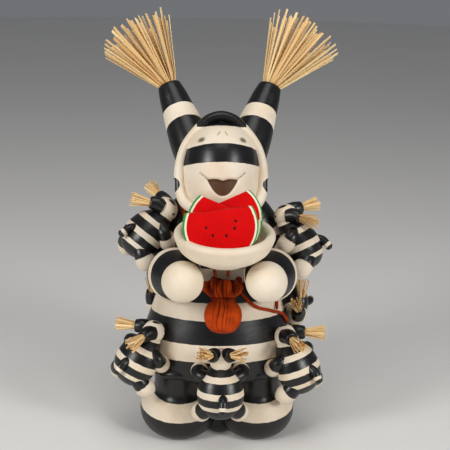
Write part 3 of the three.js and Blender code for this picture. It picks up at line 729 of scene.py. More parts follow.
@dataclass(frozen=True)
class SuedeFinish:
    """Rust suede with a short, uneven nap.

    Attributes:
        rust: The raised nap.
        dark: Painted shade in the creases and inside the bag's mouth, and where the nap lies down.
        roughness: Its roughness.
        relief: Depth of the nap, in metres.
    """

    rust: Triple = srgb(208, 74, 10)
    dark: Triple = srgb(98, 25, 6)
    roughness: float = 0.86
    relief: float = 0.00035

    def coat(self) -> Coat:
        """Clouds, nap and the painted shade in the creases run together from rust to dark."""
        b = Bench("rust_suede")
        where = b.place()
        cloud, nap = b.noise(where, 120.0, 3.0), b.noise(where, 2200.0, 2.0)
        # The creases and the bag's mouth carry painted shade, mixed here with the cloud and nap.
        shade = (cloud * 0.9 + nap * 0.35 + b.mark("fold_shade") * 0.8).clear(0.45, 1.2)
        colour = b.mix(shade, self.rust, self.dark)
        relief = b.bump(nap + cloud * 0.6, self.relief, 0.8)
        material = b.finish(colour, self.roughness, relief, Specular_IOR_Level=0.12, Sheen_Weight=0.05)
        return Coat(material, Slot.SUEDE, {"fold_shade": 0.0})


@dataclass(frozen=True)
class FloorFinish:
    """Plain pale paper.

    Attributes:
        tone: Its colour.
        cloud: The same in its faint clouds.
    """

    tone: Triple = srgb(240, 238, 234)
    cloud: Triple = srgb(234, 232, 228)

    def material(self) -> bpy.types.Material:
        """Faint clouds between two near tones."""
        b = Bench("pale_floor")
        return b.finish(b.mix(b.noise(b.place(), 3.0, 2.0), self.tone, self.cloud), 0.8)


# The figure


@dataclass
class Figure:
    """The standing clown, one clay form: legs, body, head, horns, arms and hands. Sizes are in mm.

    Attributes:
        clay: What it is made of.
        foot_half_width: Half the width of a foot.
        foot_half_length: Half its length.
        foot_height: Height at which the leg leaves the foot.
        foot_spacing: Middle of one foot to middle of the other.
        foot_y: Middle of the feet from front to back.
        band_low: Height of the lower edge of a leg's cream band, at its front.
        band_high: Height of its upper edge there.
        leg_half_width: Half the width of a leg.
        leg_half_depth: Half its depth.
        hip_z: Height of the legs' tops, inside the body.
        torso_half_width: Half width of the body above the hem.
        torso_half_depth: Half its depth.
        torso_y: Middle of the hem from front to back.
        torso_lean: How far the body's middle runs back for each mm of height.
        hem_z: Height of the body's lower edge.
        torso_top_z: Height of its top, inside the head.
        stripes: Heights at the body's front where black and cream meet.
        stripe_tilt: How much the body's stripes fall towards the back.
        head_centre: Middle of the skull.
        head_tilt: How far the face looks up.
        skull_half_height: Half the height of the skull.
        rim_half_width: Half the width of the hood's opening, at the middle of its edge.
        rim_tube: Radius of the hood's edge.
        face_half_width: Half the width of the face.
        face_reach: How far the face comes forward from the skull's middle.
        face_set_back: How far behind that middle its own one lies.
        ear_radius: Radius of the flat pressed into the hood's edge for an ear.
        ear_depth: How deep it is pressed.
        ear_forward: Its middle, forward of the skull's.
        ear_up: Its middle's height in the head's own frame.
        ear_paint: Radius of the black disc painted over it.
        mouth_half_width: Half the width of the mouth.
        mouth_height: Height of the mouth.
        mouth_top: Its upper edge in the head's own frame.
        mouth_depth: How deep it is sunk.
        horn_radius: Radius of a horn at its foot.
        horn_tip_radius: Radius of its tip.
        hand_radius: Radius of the round hands.
    """

    clay: Coat
    foot_half_width: float = 39.5
    foot_half_length: float = 43.0
    foot_height: float = 46.0
    foot_spacing: float = 77.0
    foot_y: float = -33.0
    band_low: float = 25.0
    band_high: float = 40.5
    leg_half_width: float = 25.0
    leg_half_depth: float = 30.0
    hip_z: float = 70.0
    torso_half_width: float = 79.0
    torso_half_depth: float = 62.0
    torso_y: float = -11.0
    torso_lean: float = 0.055
    hem_z: float = 62.0
    torso_top_z: float = 236.0
    stripes: Sequence[float] = (87, 104, 127, 144.5, 164.5, 178, 201, 216)
    stripe_tilt: float = math.radians(5.5)
    head_centre: Triple = (0.0, -5.0, 266.0)
    head_tilt: float = math.radians(20)
    skull_half_height: float = 46.0
    rim_half_width: float = 40.5
    rim_tube: float = 5.3
    face_half_width: float = 39.0
    face_reach: float = 43.0
    face_set_back: float = 4.0
    ear_radius: float = 6.2
    ear_depth: float = 1.2
    ear_forward: float = 12.5
    ear_up: float = -19.0
    ear_paint: float = 7.2
    mouth_half_width: float = 15.2
    mouth_height: float = 15.8
    mouth_top: float = -15.5
    mouth_depth: float = 3.0
    horn_radius: float = 20.5
    horn_tip_radius: float = 11.6
    hand_radius: float = 19.0

    def leg(self, side: Side) -> list[Skin]:
        """Round foot and leg, black above and below a cream band that is a little lower at the front.

        The band's edges rise by a tenth of the way back from the toes, the upper by 4 mm at most and
        the lower by 8 mm at most.

        Args:
            side: Which leg.

        Returns:
            The foot with its leg, and the hip inside the body.
        """
        w, l, h = self.foot_half_width, self.foot_half_length, self.foot_height
        x, y = side.value * self.foot_spacing / 2, self.foot_y
        foot_levels = [
            (0, 0.03, 0.03), (0, 0.5, 0.56), (0.01, 0.62, 0.69), (0.13, 0.83, 0.87), (0.3, 0.955, 0.965),
            (0.48, 1, 1), (0.66, 0.97, 0.97), (0.82, 0.855, 0.875), (0.94, 0.705, 0.755),
        ]
        levels = sized([(*level, y, x) for level in foot_levels], h, w, l)
        wide, deep = self.leg_half_width, self.leg_half_depth
        levels += [[1.06 * h, wide + 0.3, deep + 0.3, y, x], [1.25 * h, wide, deep, y, x]]
        foot = oval_stack([*levels, [self.hip_z, wide, deep, y, x]], 64, 104)
        foot.points[..., 2] = np.maximum(foot.points[..., 2], 0)
        back, height = foot.points[..., 1] - (y - l), foot.points[..., 2]
        high = self.band_high + np.minimum(0.1 * back, 4)
        low = self.band_low + np.minimum(0.1 * back, 8)
        hip = ball((x, y, self.hip_z), (31, 33, 11), 16, 56)
        slip = np.maximum(height - high, low - height)
        return [foot.painted("slip", slip), hip.painted("slip", COVERED)]

    def torso(self) -> Skin:
        """Pear-shaped body; its stripes follow z + (y - front) tan tilt, so they fall towards the back."""
        profile = [
            (0, 0.05, 0.05), (0, 0.8, 0.78), (0.004, 0.9, 0.9), (0.02, 0.965, 0.965), (0.05, 0.995, 0.995),
            (0.12, 0.992, 0.994), (0.24, 0.927, 0.942), (0.37, 0.827, 0.857), (0.5, 0.737, 0.777),
            (0.68, 0.632, 0.682), (0.9, 0.492, 0.552), (1, 0.3, 0.36),
        ]
        height = self.torso_top_z - self.hem_z
        levels = [
            [self.hem_z + z, w, d, self.torso_y + self.torso_lean * z]
            for z, w, d in sized(profile, height, self.torso_half_width, self.torso_half_depth)
        ]
        skin = oval_stack(levels, 88, 164)
        front = self.torso_y - self.torso_half_depth
        level = skin.points[..., 2] + (skin.points[..., 1] - front) * math.tan(self.stripe_tilt)
        return skin.painted("slip", bands(level, self.stripes))

    def from_head(self, x: np.ndarray, forward: np.ndarray, up: np.ndarray) -> np.ndarray:
        """Puts points of the head's own frame into the figure: that frame is tipped back by the tilt.

        Args:
            x: To the figure's left.
            forward: The way the face looks.
            up: The way the crown points.

        Returns:
            The points in the figure's frame.
        """
        c, s = math.cos(self.head_tilt), math.sin(self.head_tilt)
        x, forward, up = np.broadcast_arrays(x, forward, up)
        moved = np.stack([x, -forward * c + up * s, forward * s + up * c], -1)
        return moved + np.asarray(self.head_centre)

    def crown_paint(self, x: np.ndarray, up: np.ndarray) -> np.ndarray:
        """Signed distance to the black cap on the crown, between the horns."""
        return np.minimum(up - 37.0, 24.0 - np.abs(x))

    def mask_paint(self, x: np.ndarray, up: np.ndarray) -> np.ndarray:
        """Signed distance to the black band across the eyes, which droops a little at its ends."""
        wide = (x / self.face_half_width) ** 2
        return np.minimum(18.8 - 4.4 * wide - up, up - (0.6 - 1.4 * wide))

    def skull(self) -> Skin:
        """Back of the head, cream, with the black cap on top, the band's ends and a black neck."""
        skin = ball((0, 8, 0), (43.5, 42, self.skull_half_height), 52, 92)
        x, back, up = np.moveaxis(skin.points, -1, 0)
        mask = np.minimum(self.mask_paint(x, up), -back - 9)
        skin.painted("slip", np.maximum(np.maximum(self.crown_paint(x, up), mask), -up - 39))
        skin.points = self.from_head(x, -back, up)
        return skin

    def rim(self) -> Skin:
        """Rounded edge of the hood: a tube round a closed curve, pressed in flat at the ears.

        A point is centre(s) + radius x (cos turn x outward + sin turn x across).

        Returns:
            The tube, its first ring joined to its last.
        """
        w, h = self.rim_half_width, self.skull_half_height
        half = np.array([
            [0, 14, 1.05 * h], [0.29 * w, 13.5, 0.98 * h], [0.46 * w, 13, 0.85 * h], [0.7 * w, 12, 0.61 * h],
            [0.87 * w, 11, 0.36 * h], [0.98 * w, 11, 0], [w, 12, -0.33 * h], [0.97 * w, 13.5, -0.57 * h],
            [0.84 * w, 16.5, -0.8 * h], [0.47 * w, 20, -0.97 * h],
        ])
        ring = np.concatenate([half, [[0, 21, -0.98 * h]], half[:0:-1] * (-1, 1, 1)])
        stops = np.concatenate([ring[-3:], ring, ring[:3]])
        length = arc_of(stops)
        curve = np.column_stack([length, stops])
        s = np.linspace(length[3], length[3 + len(ring)], 208, endpoint=False)
        centre = smooth_through(curve, s)
        along = unit(smooth_through(curve, s + 0.4) - smooth_through(curve, s - 0.4))
        outward = centre - (0, 13, 0)
        outward = unit(outward - (outward * along).sum(1, keepdims=True) * along)
        across = np.cross(along, outward)
        turn = turns(34)[None, :, None]
        section = np.cos(turn) * outward[:, None] + np.sin(turn) * across[:, None]
        x, forward, up = np.moveaxis(centre[:, None] + self.rim_tube * section, -1, 0)
        ahead, above = forward - self.ear_forward, up - self.ear_up
        flat = self.rim_half_width + self.rim_tube - self.ear_depth
        disc = self.ear_paint - np.sqrt((np.abs(x) - flat - 1.5) ** 2 + (ahead - 1.5) ** 2 + above**2)
        ear = self.ear_radius - np.hypot(ahead, above)
        pressed = np.clip(ear / 0.8 + 0.5, 0, 1) * (np.abs(x) > flat)
        x = x - np.sign(x) * pressed * (np.abs(x) - flat)
        slip = np.maximum(self.crown_paint(x, up), disc)
        stroke = round_strokes(turn[..., 0], s[:, None], 2.0)
        return Skin(self.from_head(x, forward, up), {"slip": slip, "stroke": stroke}, looped=True)

    def mouth_distance(self, x: np.ndarray, up: np.ndarray) -> np.ndarray:
        """Signed distance inside the laughing mouth: a dipped top line over a rounded parabola.

        Args:
            x: To the figure's left, in the head's own frame.
            up: Height there.

        Returns:
            The distance, positive inside the mouth.
        """
        u = np.clip(np.abs(x) / self.mouth_half_width, 0, 1.3)
        top = self.mouth_top + 0.3 * np.sin(np.pi * np.minimum(u, 1)) - 1.3 * np.exp(-((x / 4.2) ** 2))
        bottom = self.mouth_top - self.mouth_height * (1 - u**2.1)
        slope = 2.1 * self.mouth_height * u**1.1 / self.mouth_half_width
        return np.minimum(top - up, (up - bottom) / np.sqrt(1 + slope**2))

    def face(self) -> Skin:
        """Face inside the hood, with the mouth, laugh lines, eye pits and nose marks sunk into it.

        The form is a stack of ovals; marks push it back along the way it faces, and its back half is
        flattened so that it stays inside the skull.

        Returns:
            The face.
        """
        h, w, set_back = self.skull_half_height, self.face_half_width, self.face_set_back
        levels = [
            (-1.0, 0.04, 0.04), (-0.985, 0.3, 0.3), (-0.95, 0.52, 0.52), (-0.88, 0.76, 0.76),
            (-0.7, 0.93, 0.92), (-0.4, 1, 0.985), (0, 1, 1), (0.32, 0.955, 0.968), (0.58, 0.84, 0.875),
            (0.78, 0.66, 0.72), (0.9, 0.42, 0.5), (0.94, 0.22, 0.27), (0.95, 0.03, 0.03),
        ]
        levels = [(*level, set_back) for level in levels]
        skin = oval_stack(sized(levels, h, w, self.face_reach + set_back), 104, 216)
        x, back, up = np.moveaxis(skin.points, -1, 0)
        front = -back > 4
        mouth = np.where(front, self.mouth_distance(x, up), BARE)
        sink = self.mouth_depth * np.clip(mouth / 1.3 + 0.45, 0, 1) ** 0.8
        tilt = math.radians(22)
        dx, dz = np.abs(x) - 20.5, up - 23.0
        a, b = dx * math.cos(tilt) - dz * math.sin(tilt), dx * math.sin(tilt) + dz * math.cos(tilt)
        eye = np.where(front, 1 - np.hypot(a / 4.6, b / 2.9), -1)
        sink += 1.9 * np.clip(eye * 1.3, 0, 1) ** 0.7
        crease = self.stroke_share(np.abs(x), up, (14.4, -15.4), (21.4, -9.2), 0.6) * front
        nose = self.stroke_share(np.abs(x), up, (2.4, 30.2), (4.6, 27.2), 0.55) * front
        sink += 1.0 * crease + 0.7 * nose
        outward = unit(np.stack([x, back - set_back, 0 * up], -1))
        x, back = x - outward[..., 0] * sink, back - outward[..., 1] * sink
        mask = np.minimum(self.mask_paint(x, up), -back)
        skin.painted("slip", np.maximum(mask, self.crown_paint(x, up)))
        skin.painted("brown", mouth)
        # Painted shade: the eye pits, laugh lines and nose marks are darkened towards an olive tan.
        skin.painted("pit", np.clip(np.clip(eye * 1.8, 0, 1) + 0.8 * crease + 0.9 * nose, 0, 1))
        behind = back - set_back
        skin.points = self.from_head(x, -np.where(behind > 0, set_back + 0.75 * behind, back), up)
        return skin

    @staticmethod
    def stroke_share(
        x: np.ndarray, up: np.ndarray, start: tuple[float, float], end: tuple[float, float], width: float
    ) -> np.ndarray:
        """How much a straight stroke marks each point: 1 on it, falling to 0 a width and a bit away.

        Args:
            x: To the figure's left.
            up: Height in the head's own frame.
            start: One end of the stroke.
            end: Its other end.
            width: Half its width, with its soft edge.

        Returns:
            The share, from 0 to 1.
        """
        run = np.subtract(end, start)
        share = np.clip(((x - start[0]) * run[0] + (up - start[1]) * run[1]) / run.dot(run), 0, 1)
        gap = np.hypot(x - start[0] - share * run[0], up - start[1] - share * run[1])
        return np.clip(1.3 - gap / width, 0, 1)

    @staticmethod
    def horn_path(side: Side) -> list[Triple]:
        """Middle line of a horn, from inside the head to its tip."""
        line = [(22, 0, 272), (28, 9, 284), (34.7, 21, 300), (41.7, 33, 316), (50.5, 45, 337)]
        return [(side.value * x, y, z) for x, y, z in line]

    def horn(self, side: Side) -> Skin:
        """Tapering horn with a cream band and a rounded, hollow tip for the straws.

        The band follows the length along the horn, less 0.3 of the way towards the front.

        Args:
            side: Which horn.

        Returns:
            The horn.
        """
        shares = (1, 1, 1, 0.985, 0.96, 0.92, 0.87, 0.81, 0.75, 0.68)
        radii = [share * self.horn_radius for share in shares]
        around = 72
        tube, length, _ = Limb(self.horn_path(side), [*radii, self.horn_tip_radius]).build(64, around)
        lip = [(0.9, 0.95), (1.4, 0.87), (1.3, 0.8), (0.6, 0.77), (-3.0, 0.76), (-7.0, 0.75)]
        points = lipped(tube, self.horn_path(side), lip)
        length = np.concatenate([length, np.full(len(lip), length[-1])])[:, None]
        toward = points[..., 1].mean(1, keepdims=True) - points[..., 1]
        stroke = round_strokes(turns(around)[None], length, 3.0)
        return Skin(points, {"slip": bands(length - 0.3 * toward, [37.5, 55.5]), "stroke": stroke})

    @staticmethod
    def arm_path(side: Side) -> list[Triple]:
        """Middle line of an arm, from the shoulder round the elbow and up to the wrist."""
        line = [
            (33, 3, 212), (44, 2, 192), (47, -10, 172), (46.5, -34, 165.5), (45.5, -62.4, 173),
            (44.5, -84.2, 183), (39, -107.7, 186.5),
        ]
        return [(side.value * x, y, z) for x, y, z in line]

    def arm(self, side: Side) -> list[Skin]:
        """Sleeve with thin cream rings, its shoulder, and the round hand under the bowl.

        Args:
            side: Which arm.

        Returns:
            The sleeve, the shoulder inside the body and the hand.
        """
        path = self.arm_path(side)
        sleeve, length, share = Limb(path, [22, 24, 25, 25, 22.5, 25, 15.5]).build(110, 78)
        upper, cuff = np.interp([0.14, 0.85], share, length)
        sleeve.painted("slip", bands(length[:, None], [upper - 5, upper + 5, cuff - 3, cuff + 3]))
        shoulder = ball(path[0], (22, 22, 22), 24, 48).painted("slip", COVERED)
        return [sleeve, shoulder, ball((side.value * 38, -115, 187), (self.hand_radius,) * 3, 40, 64)]

    def build(self) -> bpy.types.Object:
        """Joins all of it into the one clay piece."""
        skins = [self.torso(), self.skull(), self.rim(), self.face()]
        for side in Side:
            skins += self.leg(side) + self.arm(side) + [self.horn(side)]
        return self.clay.piece("clown_storyteller", "storyteller", skins)


# Straw


@dataclass
class StrawFan:
    """A bunch of flat splints that spring from a socket. Sizes are in mm.

    Attributes:
        node: The solid that it stands for.
        tip: Middle of the socket's mouth.
        fan: Middle direction of the bunch.
        straw: What it is made of.
        count: Number of splints.
        length: Usual length beyond the mouth.
        spread: Widest lean from the middle direction.
        bundle: Radius of the bunch at the mouth.
        width: Usual width of a splint.
        depth: How far the splints reach down into the socket.
        seed: Seed of the small differences.
        matrix: What carries it from its own frame to the figure's.
    """

    node: str
    tip: np.ndarray
    fan: np.ndarray
    straw: Coat
    count: int = 92
    length: float = 77.0
    spread: float = math.radians(27)
    bundle: float = 8.2
    width: float = 2.9
    depth: float = 5.0
    seed: int = 1
    matrix: np.ndarray = field(default_factory=lambda: np.eye(4))

    def build(self) -> bpy.types.Object:
        """Splint i leans by spread x sqrt(i / count) at i golden angles, and bows a little on the way.

        Its section is a flat four-sided strip whose wide side faces away from the bunch's middle.

        Returns:
            The bunch, one piece.
        """
        dice = np.random.default_rng(self.seed)
        i = np.arange(self.count)
        share = np.sqrt((i + 0.5) / self.count)
        angle = i * np.pi * (3 - np.sqrt(5)) + dice.normal(0, 0.12, self.count)
        lean = (self.spread * share)[:, None]
        turn = turned((0, 0, 1), self.fan)
        radial = np.stack([np.cos(angle), np.sin(angle), 0 * angle], -1)
        direction = np.sin(lean) * radial + np.cos(lean) * np.array([0.0, 0.0, 1.0])
        outward = unit((radial - (radial * direction).sum(1, keepdims=True) * direction) @ turn.T)
        root = (radial * (self.bundle * share)[:, None]) @ turn.T
        direction = direction @ turn.T
        twist = dice.normal(0, 0.35, self.count)[:, None]
        side = unit(np.cross(direction, outward) * np.cos(twist) + outward * np.sin(twist))
        thin = np.cross(direction, side)
        reach = self.length * dice.uniform(0.86, 1.0, self.count)
        steps = np.linspace(0, 1, 7)
        distance = (-self.depth + steps[None] * (reach + self.depth)[:, None])[..., None]
        bow = dice.normal(0, 0.012, self.count)[:, None] * self.length * (steps[None] ** 2 - steps[None])
        middle = self.tip + root[:, None] + distance * direction[:, None] + bow[..., None] * outward[:, None]
        inside = np.clip(-distance / self.depth, 0, 1)
        middle = middle - inside * 0.25 * root[:, None]
        half = 0.5 * self.width * dice.uniform(0.45, 1.25, self.count)[:, None, None]
        thick = 0.5 * self.width * 0.62
        corner = np.array([[1, 0.42], [-1, 0.36], [-1, -0.36], [1, -0.42]])
        across = corner[None, None, :, :1] * half[:, None] * side[:, None, None]
        section = across + corner[None, None, :, 1:] * thick * thin[:, None, None]
        cut = dice.normal(0, 0.25, self.count)[:, None] * corner[None, :, 0] * (self.width / 2)
        points = middle[:, :, None] + section
        points[:, -1] += cut[..., None] * direction[:, None]
        # Painted shade: each splint darkens where it sits inside the socket; the random part is its own
        # tone.
        socket = np.clip(1 - steps * 6, 0, 1)[None, :, None]
        shade = dice.uniform(0, 1, self.count)[:, None, None] * 0.8 + 0.35 * socket
        beside = corner[None, None, :, 0] * half + 9.0 * i[:, None, None]
        stroke = np.stack(np.broadcast_arrays(beside, corner[None, None, :, 1] * thick, distance), -1)
        skin = Skin(points, {"stroke": stroke}).painted("shade", shade).moved(self.matrix)
        return self.straw.piece(self.node + "_straws", self.node, [skin])


# Small clowns


@dataclass
class SmallClown:
    """A small clown that clings to the big one. Sizes are in mm.

    Attributes:
        name: Where it clings.
        at: Middle of its body.
        up: The way its back runs.
        front: The way its belly faces.
        gaze: Where its face points.
        crown: Where the top of its head points.
        clay: What its body is made of.
        straw: What its tassels are made of.
        size: Its size against the usual one.
        hand_height: Height of the hands on its own body.
        bow: How far its stripes sag on the back, as a slope.
        stripes: Heights on its back where black and cream meet.
        cuff: Length of its black sleeves.
        trouser: Length of its black trouser legs.
        half_width: Half the width of its body.
        half_depth: Half its depth.
        half_length: Half its length, without the rounding.
        head_radius: Radius of its head.
        arm_radius: Radius of its sleeves.
        leg_radius: Radius of its trouser legs.
    """

    name: str
    at: Triple
    up: Triple
    front: Triple
    gaze: Triple
    crown: Triple
    clay: Coat
    straw: Coat
    size: float = 1.0
    hand_height: float = 8.0
    bow: float = 0.12
    stripes: Sequence[float] = (-19.4, -15, -7.2, -1.1, 8.4, 13.6, 21.6, 25.4)
    cuff: float = 15.6
    trouser: float = 17.0
    half_width: float = 22.5
    half_depth: float = 18.0
    half_length: float = 25.0
    head_radius: float = 12.0
    arm_radius: float = 6.6
    leg_radius: float = 8.4

    def trunk(self) -> Skin:
        """Striped barrel of a body, closed at both ends; its stripes follow z - bow (y + half depth)."""
        levels = [
            (-1.06, 0.04, 0.04, 1), (-1.03, 0.3, 0.3, 1), (-0.93, 0.56, 0.56, 1), (-0.7, 0.82, 0.82, 0.5),
            (-0.25, 1, 1, 0), (0.1, 0.98, 0.98, 0), (0.42, 0.89, 0.89, 0), (0.78, 0.64, 0.68, 1),
            (1.05, 0.4, 0.5, 2), (1.2, 0.34, 0.42, 2),
        ]
        skin = oval_stack(sized(levels, self.half_length, self.half_width, self.half_depth), 62, 84)
        level = skin.points[..., 2] - self.bow * (skin.points[..., 1] + self.half_depth)
        return skin.painted("slip", bands(level, self.stripes))

    def arm(self, side: Side) -> Skin:
        """Black sleeve that ends in a cream mitt."""
        k, h, r = side.value, self.hand_height, self.arm_radius
        path = [(k * 13, -1, 13), (k * 20, 2, 0.5 * (13 + h)), (k * 20, 9, h), (k * 19, 18, h - 1)]
        radii = [r, r, 1.02 * r, 1.24 * r, 1.26 * r, 0.8 * r]
        skin, length, _ = Limb(path, radii, (0, 0, 1), 4.5, 5.0).build(30, 26)
        return skin.painted("slip", self.cuff - length[:, None])

    def leg(self, side: Side) -> Skin:
        """Black trouser leg that ends in a cream foot."""
        k, r = side.value, self.leg_radius
        path = [(k * 9, -1, -13), (k * 16, 3, -18), (k * 18, 9, -20), (k * 18.5, 18, -21)]
        radii = [r, r, r, 1.14 * r, 1.1 * r, 0.75 * r]
        skin, length, _ = Limb(path, radii, (0, 0, 1), 4.5, 6.0).build(30, 28)
        return skin.painted("slip", self.trouser - length[:, None])

    def tail(self) -> Skin:
        """Stub of a tail, black with a cream ring before the black tip."""
        path = [(1, -12, -2), (1.5, -19, -8), (1, -21.5, -17)]
        skin, length, _ = Limb(path, [4.6, 4.4, 3.7], (1, 0, 0), 3.0).build(20, 20)
        return skin.painted("slip", bands(length[:, None], [length[-1] - 7.0, length[-1] - 3.6]))

    def head(self) -> list[Skin]:
        """Cream head with a black spot on the crown, eye dots and a small mouth, and its two horns."""
        r = self.head_radius
        skin = ball((0, 0, 0), (0.88 * r, 1.04 * r, r), 50, 72)
        x, y, z = np.moveaxis(skin.points, -1, 0)
        crown = 3.4 - np.hypot(np.abs(x) / 0.8, (y - 3.6) * 0.8) + np.minimum(z - 6, 0)
        eye = 1.35 - np.hypot(np.hypot(np.abs(x) - 4.6, z - 2.6), np.minimum(y, 0))
        mouth = 1.5 - np.hypot(np.hypot(x * 0.75, (z + 4.2) * 1.25), np.minimum(y, 0))
        skin.painted("slip", np.maximum(crown, np.where(z < -8.6, -z - 9.6, BARE)))
        skin.painted("brown", np.maximum(eye, mouth))
        return [skin] + [self.horn(side) for side in Side]

    @staticmethod
    def horn_path(side: Side) -> list[Triple]:
        """Middle line of a small horn: back from the crown, then outwards."""
        return [(side.value * x, y, z) for x, y, z in ((5, -1, 3), (6.6, -7.5, 4), (10, -13.5, 3.5))]

    def horn(self, side: Side) -> Skin:
        """Black horn, rounded over at its open end."""
        tube, _, _ = Limb(self.horn_path(side), [7.2, 7.3, 6.2], (0, 0, 1)).build(24, 32)
        lip = [(0.5, 0.93), (0.8, 0.83), (0.7, 0.74), (-0.2, 0.66), (-2.6, 0.6)]
        points = lipped(tube, self.horn_path(side), lip)
        return Skin(points, {"stroke": points}).painted("slip", COVERED)

    def build(self) -> list[bpy.types.Object]:
        """Puts the body in its place, the head on its neck and a tassel in each horn.

        Returns:
            The clown and its two tassels.
        """
        body = frame_of(self.at, self.up, self.front, self.size)
        neck = (body @ np.array([0, -2, self.half_length + 5, 1]))[:3]
        head = frame_of(neck, self.crown, self.gaze, self.size)
        skins = [self.trunk().moved(body), self.tail().moved(body)]
        for side in Side:
            skins += [self.arm(side).moved(body), self.leg(side).moved(body)]
        skins += [skin.moved(head) for skin in self.head()]
        node = "child_" + self.name
        made = [self.clay.piece("small_clown_" + self.name, node, skins)]
        for label, side in (("a", Side.RIGHT), ("b", Side.LEFT)):
            tip, along = end_of(self.horn_path(side))
            tassel = StrawFan(
                f"{node}_tassel_{label}", tip, along, self.straw, count=20, length=20.5,
                spread=math.radians(13), bundle=3.3, width=1.9, depth=2.4,
                seed=sum(map(ord, node)) + side.value, matrix=head,
            )
            made.append(tassel.build())
        return made


# Bowl and melon


@dataclass
class Bowl:
    """Thick bowl with a rounded lip, tipped a little towards the front. Sizes are in mm.

    Attributes:
        clay: What it is made of.
        radius: Radius outside, below the lip.
        height: Height from its foot to the middle of its lip.
        wall: Thickness of its wall.
        foot_radius: Radius of the flat foot.
        centre: Middle of the foot.
        tilt: How far it tips.
    """

    clay: Coat
    radius: float = 44.5
    height: float = 29.0
    wall: float = 6.0
    foot_radius: float = 21.0
    centre: Triple = (0.0, -98.0, 201.0)
    tilt: float = math.radians(5)

    def build(self) -> bpy.types.Object:
        """Turns the wall's profile round the bowl's axis: a point is (out cos turn, out sin turn, up).

        The profile runs out along the foot, up the outside, over the lip and down the inside.

        Returns:
            The bowl.
        """
        r, h, wall = self.radius, self.height, self.wall
        inner, waist = r - wall, 0.78 * h
        outside = np.radians([-55, -42, -30, -19])
        bead = np.radians([-30, 0, 30, 60, 90, 120, 150, 180])
        inside = np.radians([-24, -42, -60, -76])
        profile = [(0.6, 0.0), (self.foot_radius - 4, 0.0), (self.foot_radius, 0.5)]
        profile += [(r * math.cos(a), waist + 0.8 * h * math.sin(a)) for a in outside]
        lip_out, lip_up, round_ = r - wall / 2 + 0.3, h - wall / 2, 0.72 * wall
        profile += [(lip_out + round_ * math.cos(a), lip_up + round_ * math.sin(a)) for a in bead]
        profile += [(inner * math.cos(a), waist + (waist - wall) * math.sin(a)) for a in inside]
        stops = np.array([*profile, (0.6, wall)])
        length = arc_of(stops)
        s = np.linspace(0, length[-1], 88)
        out, up = smooth_through(np.column_stack([length, stops]), s).T[:, :, None]
        turn = turns(144)[None]
        points = np.stack([out * np.cos(turn), out * np.sin(turn), up + 0 * turn], -1)
        skin = Skin(points, {"stroke": round_strokes(turn, s[:, None])})
        return self.clay.piece("clay_bowl", "bowl", [skin.moved(tipped(self.centre, self.tilt))])


@dataclass
class MelonSlice:
    """Round slice of melon cut straight across its top. Sizes are in mm.

    Attributes:
        node: The solid that it stands for.
        at: Middle of the round.
        lean: How far it leans back.
        roll: How far its cut edge tips to one side.
        turn: How far it turns about the upright.
        melon: What it is made of.
        seeds: Places of seeds on the flat sides, from the middle of the round.
        radius: Radius of the round.
        thickness: Its thickness.
        top: Height of the cut edge above the round's middle.
        ease: Rounding of its edges.
    """

    node: str
    at: Triple
    lean: float
    roll: float
    turn: float
    melon: Coat
    seeds: Sequence[tuple[float, float]] = ((-13, 1), (-8, -6.5), (4, -8), (12, -2.5), (13.5, 4))
    radius: float = 33.5
    thickness: float = 8.0
    top: float = 15.0
    ease: float = 1.1

    def outline(self, count: int) -> np.ndarray:
        """Points round the cut circle: the arc below the cut, then the straight top.

        Args:
            count: Number of points.

        Returns:
            Rows of x and height from the middle of the round.
        """
        half = math.acos(self.top / self.radius)
        arc = np.linspace(math.pi / 2 + half, math.pi / 2 - half + 2 * math.pi, int(count * 0.76))
        rind = np.stack([np.cos(arc), np.sin(arc)], -1) * self.radius
        share = np.linspace(0, 1, count - len(rind) + 2)[1:-1, None]
        return np.concatenate([rind, rind[-1] * (1 - share) + rind[0] * share])

    def seed_distance(self, x: np.ndarray, y: np.ndarray) -> np.ndarray:
        """Signed distance to the nearest seed, a slanted egg 1.15 in radius and longer upwards.

        Args:
            x: Place across the slice.
            y: Height there.

        Returns:
            The distance, positive inside a seed.
        """
        found = np.full(x.shape, BARE)
        for k, (across, up) in enumerate(self.seeds):
            slant = 0.5 * math.sin(2.3 * k + 1)
            c, s = math.cos(slant), math.sin(slant)
            u, v = (x - across) * c - (y - up) * s, (x - across) * s + (y - up) * c
            found = np.maximum(found, 1.15 - np.hypot(u * (1 + 0.12 * v), v * 0.7))
        return found

    def build(self) -> bpy.types.Object:
        """Rings shrink from the outline to the middle on both flat sides, over a rounded edge.

        A ring of a flat side is centre + share x (outline - ease x outward - centre).

        Returns:
            The slice.
        """
        edge, centre, half, ease = self.outline(168), np.array([0.0, -6.0]), self.thickness / 2, self.ease
        outward = unit(edge - centre)
        nick = 0.32  # how far the rounding's middle ring is from both of its faces
        over = np.array([
            (-half, ease), (-half + nick, nick), (-half + ease, 0),
            (half - ease, 0), (half - nick, nick), (half, ease),
        ])
        shares = np.linspace(0.015, 1, 30)[:-1, None, None]
        side = centre + (edge - outward * ease - centre) * shares
        rings = np.concatenate([side, edge - outward * over[:, 1, None, None], side[::-1]])
        flat = np.full(len(shares), half)
        depth = np.concatenate([-flat, over[:, 0], flat])[:, None] + 0 * rings[..., 0]
        x, y = np.moveaxis(rings, -1, 0)
        rind = np.maximum(self.radius - np.hypot(x, y), 0)
        seed = np.where(np.abs(depth) > half - 0.2, self.seed_distance(x, y), BARE)
        points = np.stack([x, -depth, y], -1)
        for axis, angle in ((1, self.roll), (0, -self.lean), (2, self.turn)):
            turn = np.array(Quaternion(Vector(np.eye(3)[axis]), angle).to_matrix())
            points = points @ turn.T
        skin = Skin(points + np.asarray(self.at), {"depth": rind, "seed": seed})
        return self.melon.piece("painted_" + self.node, self.node, [skin])


# Suede


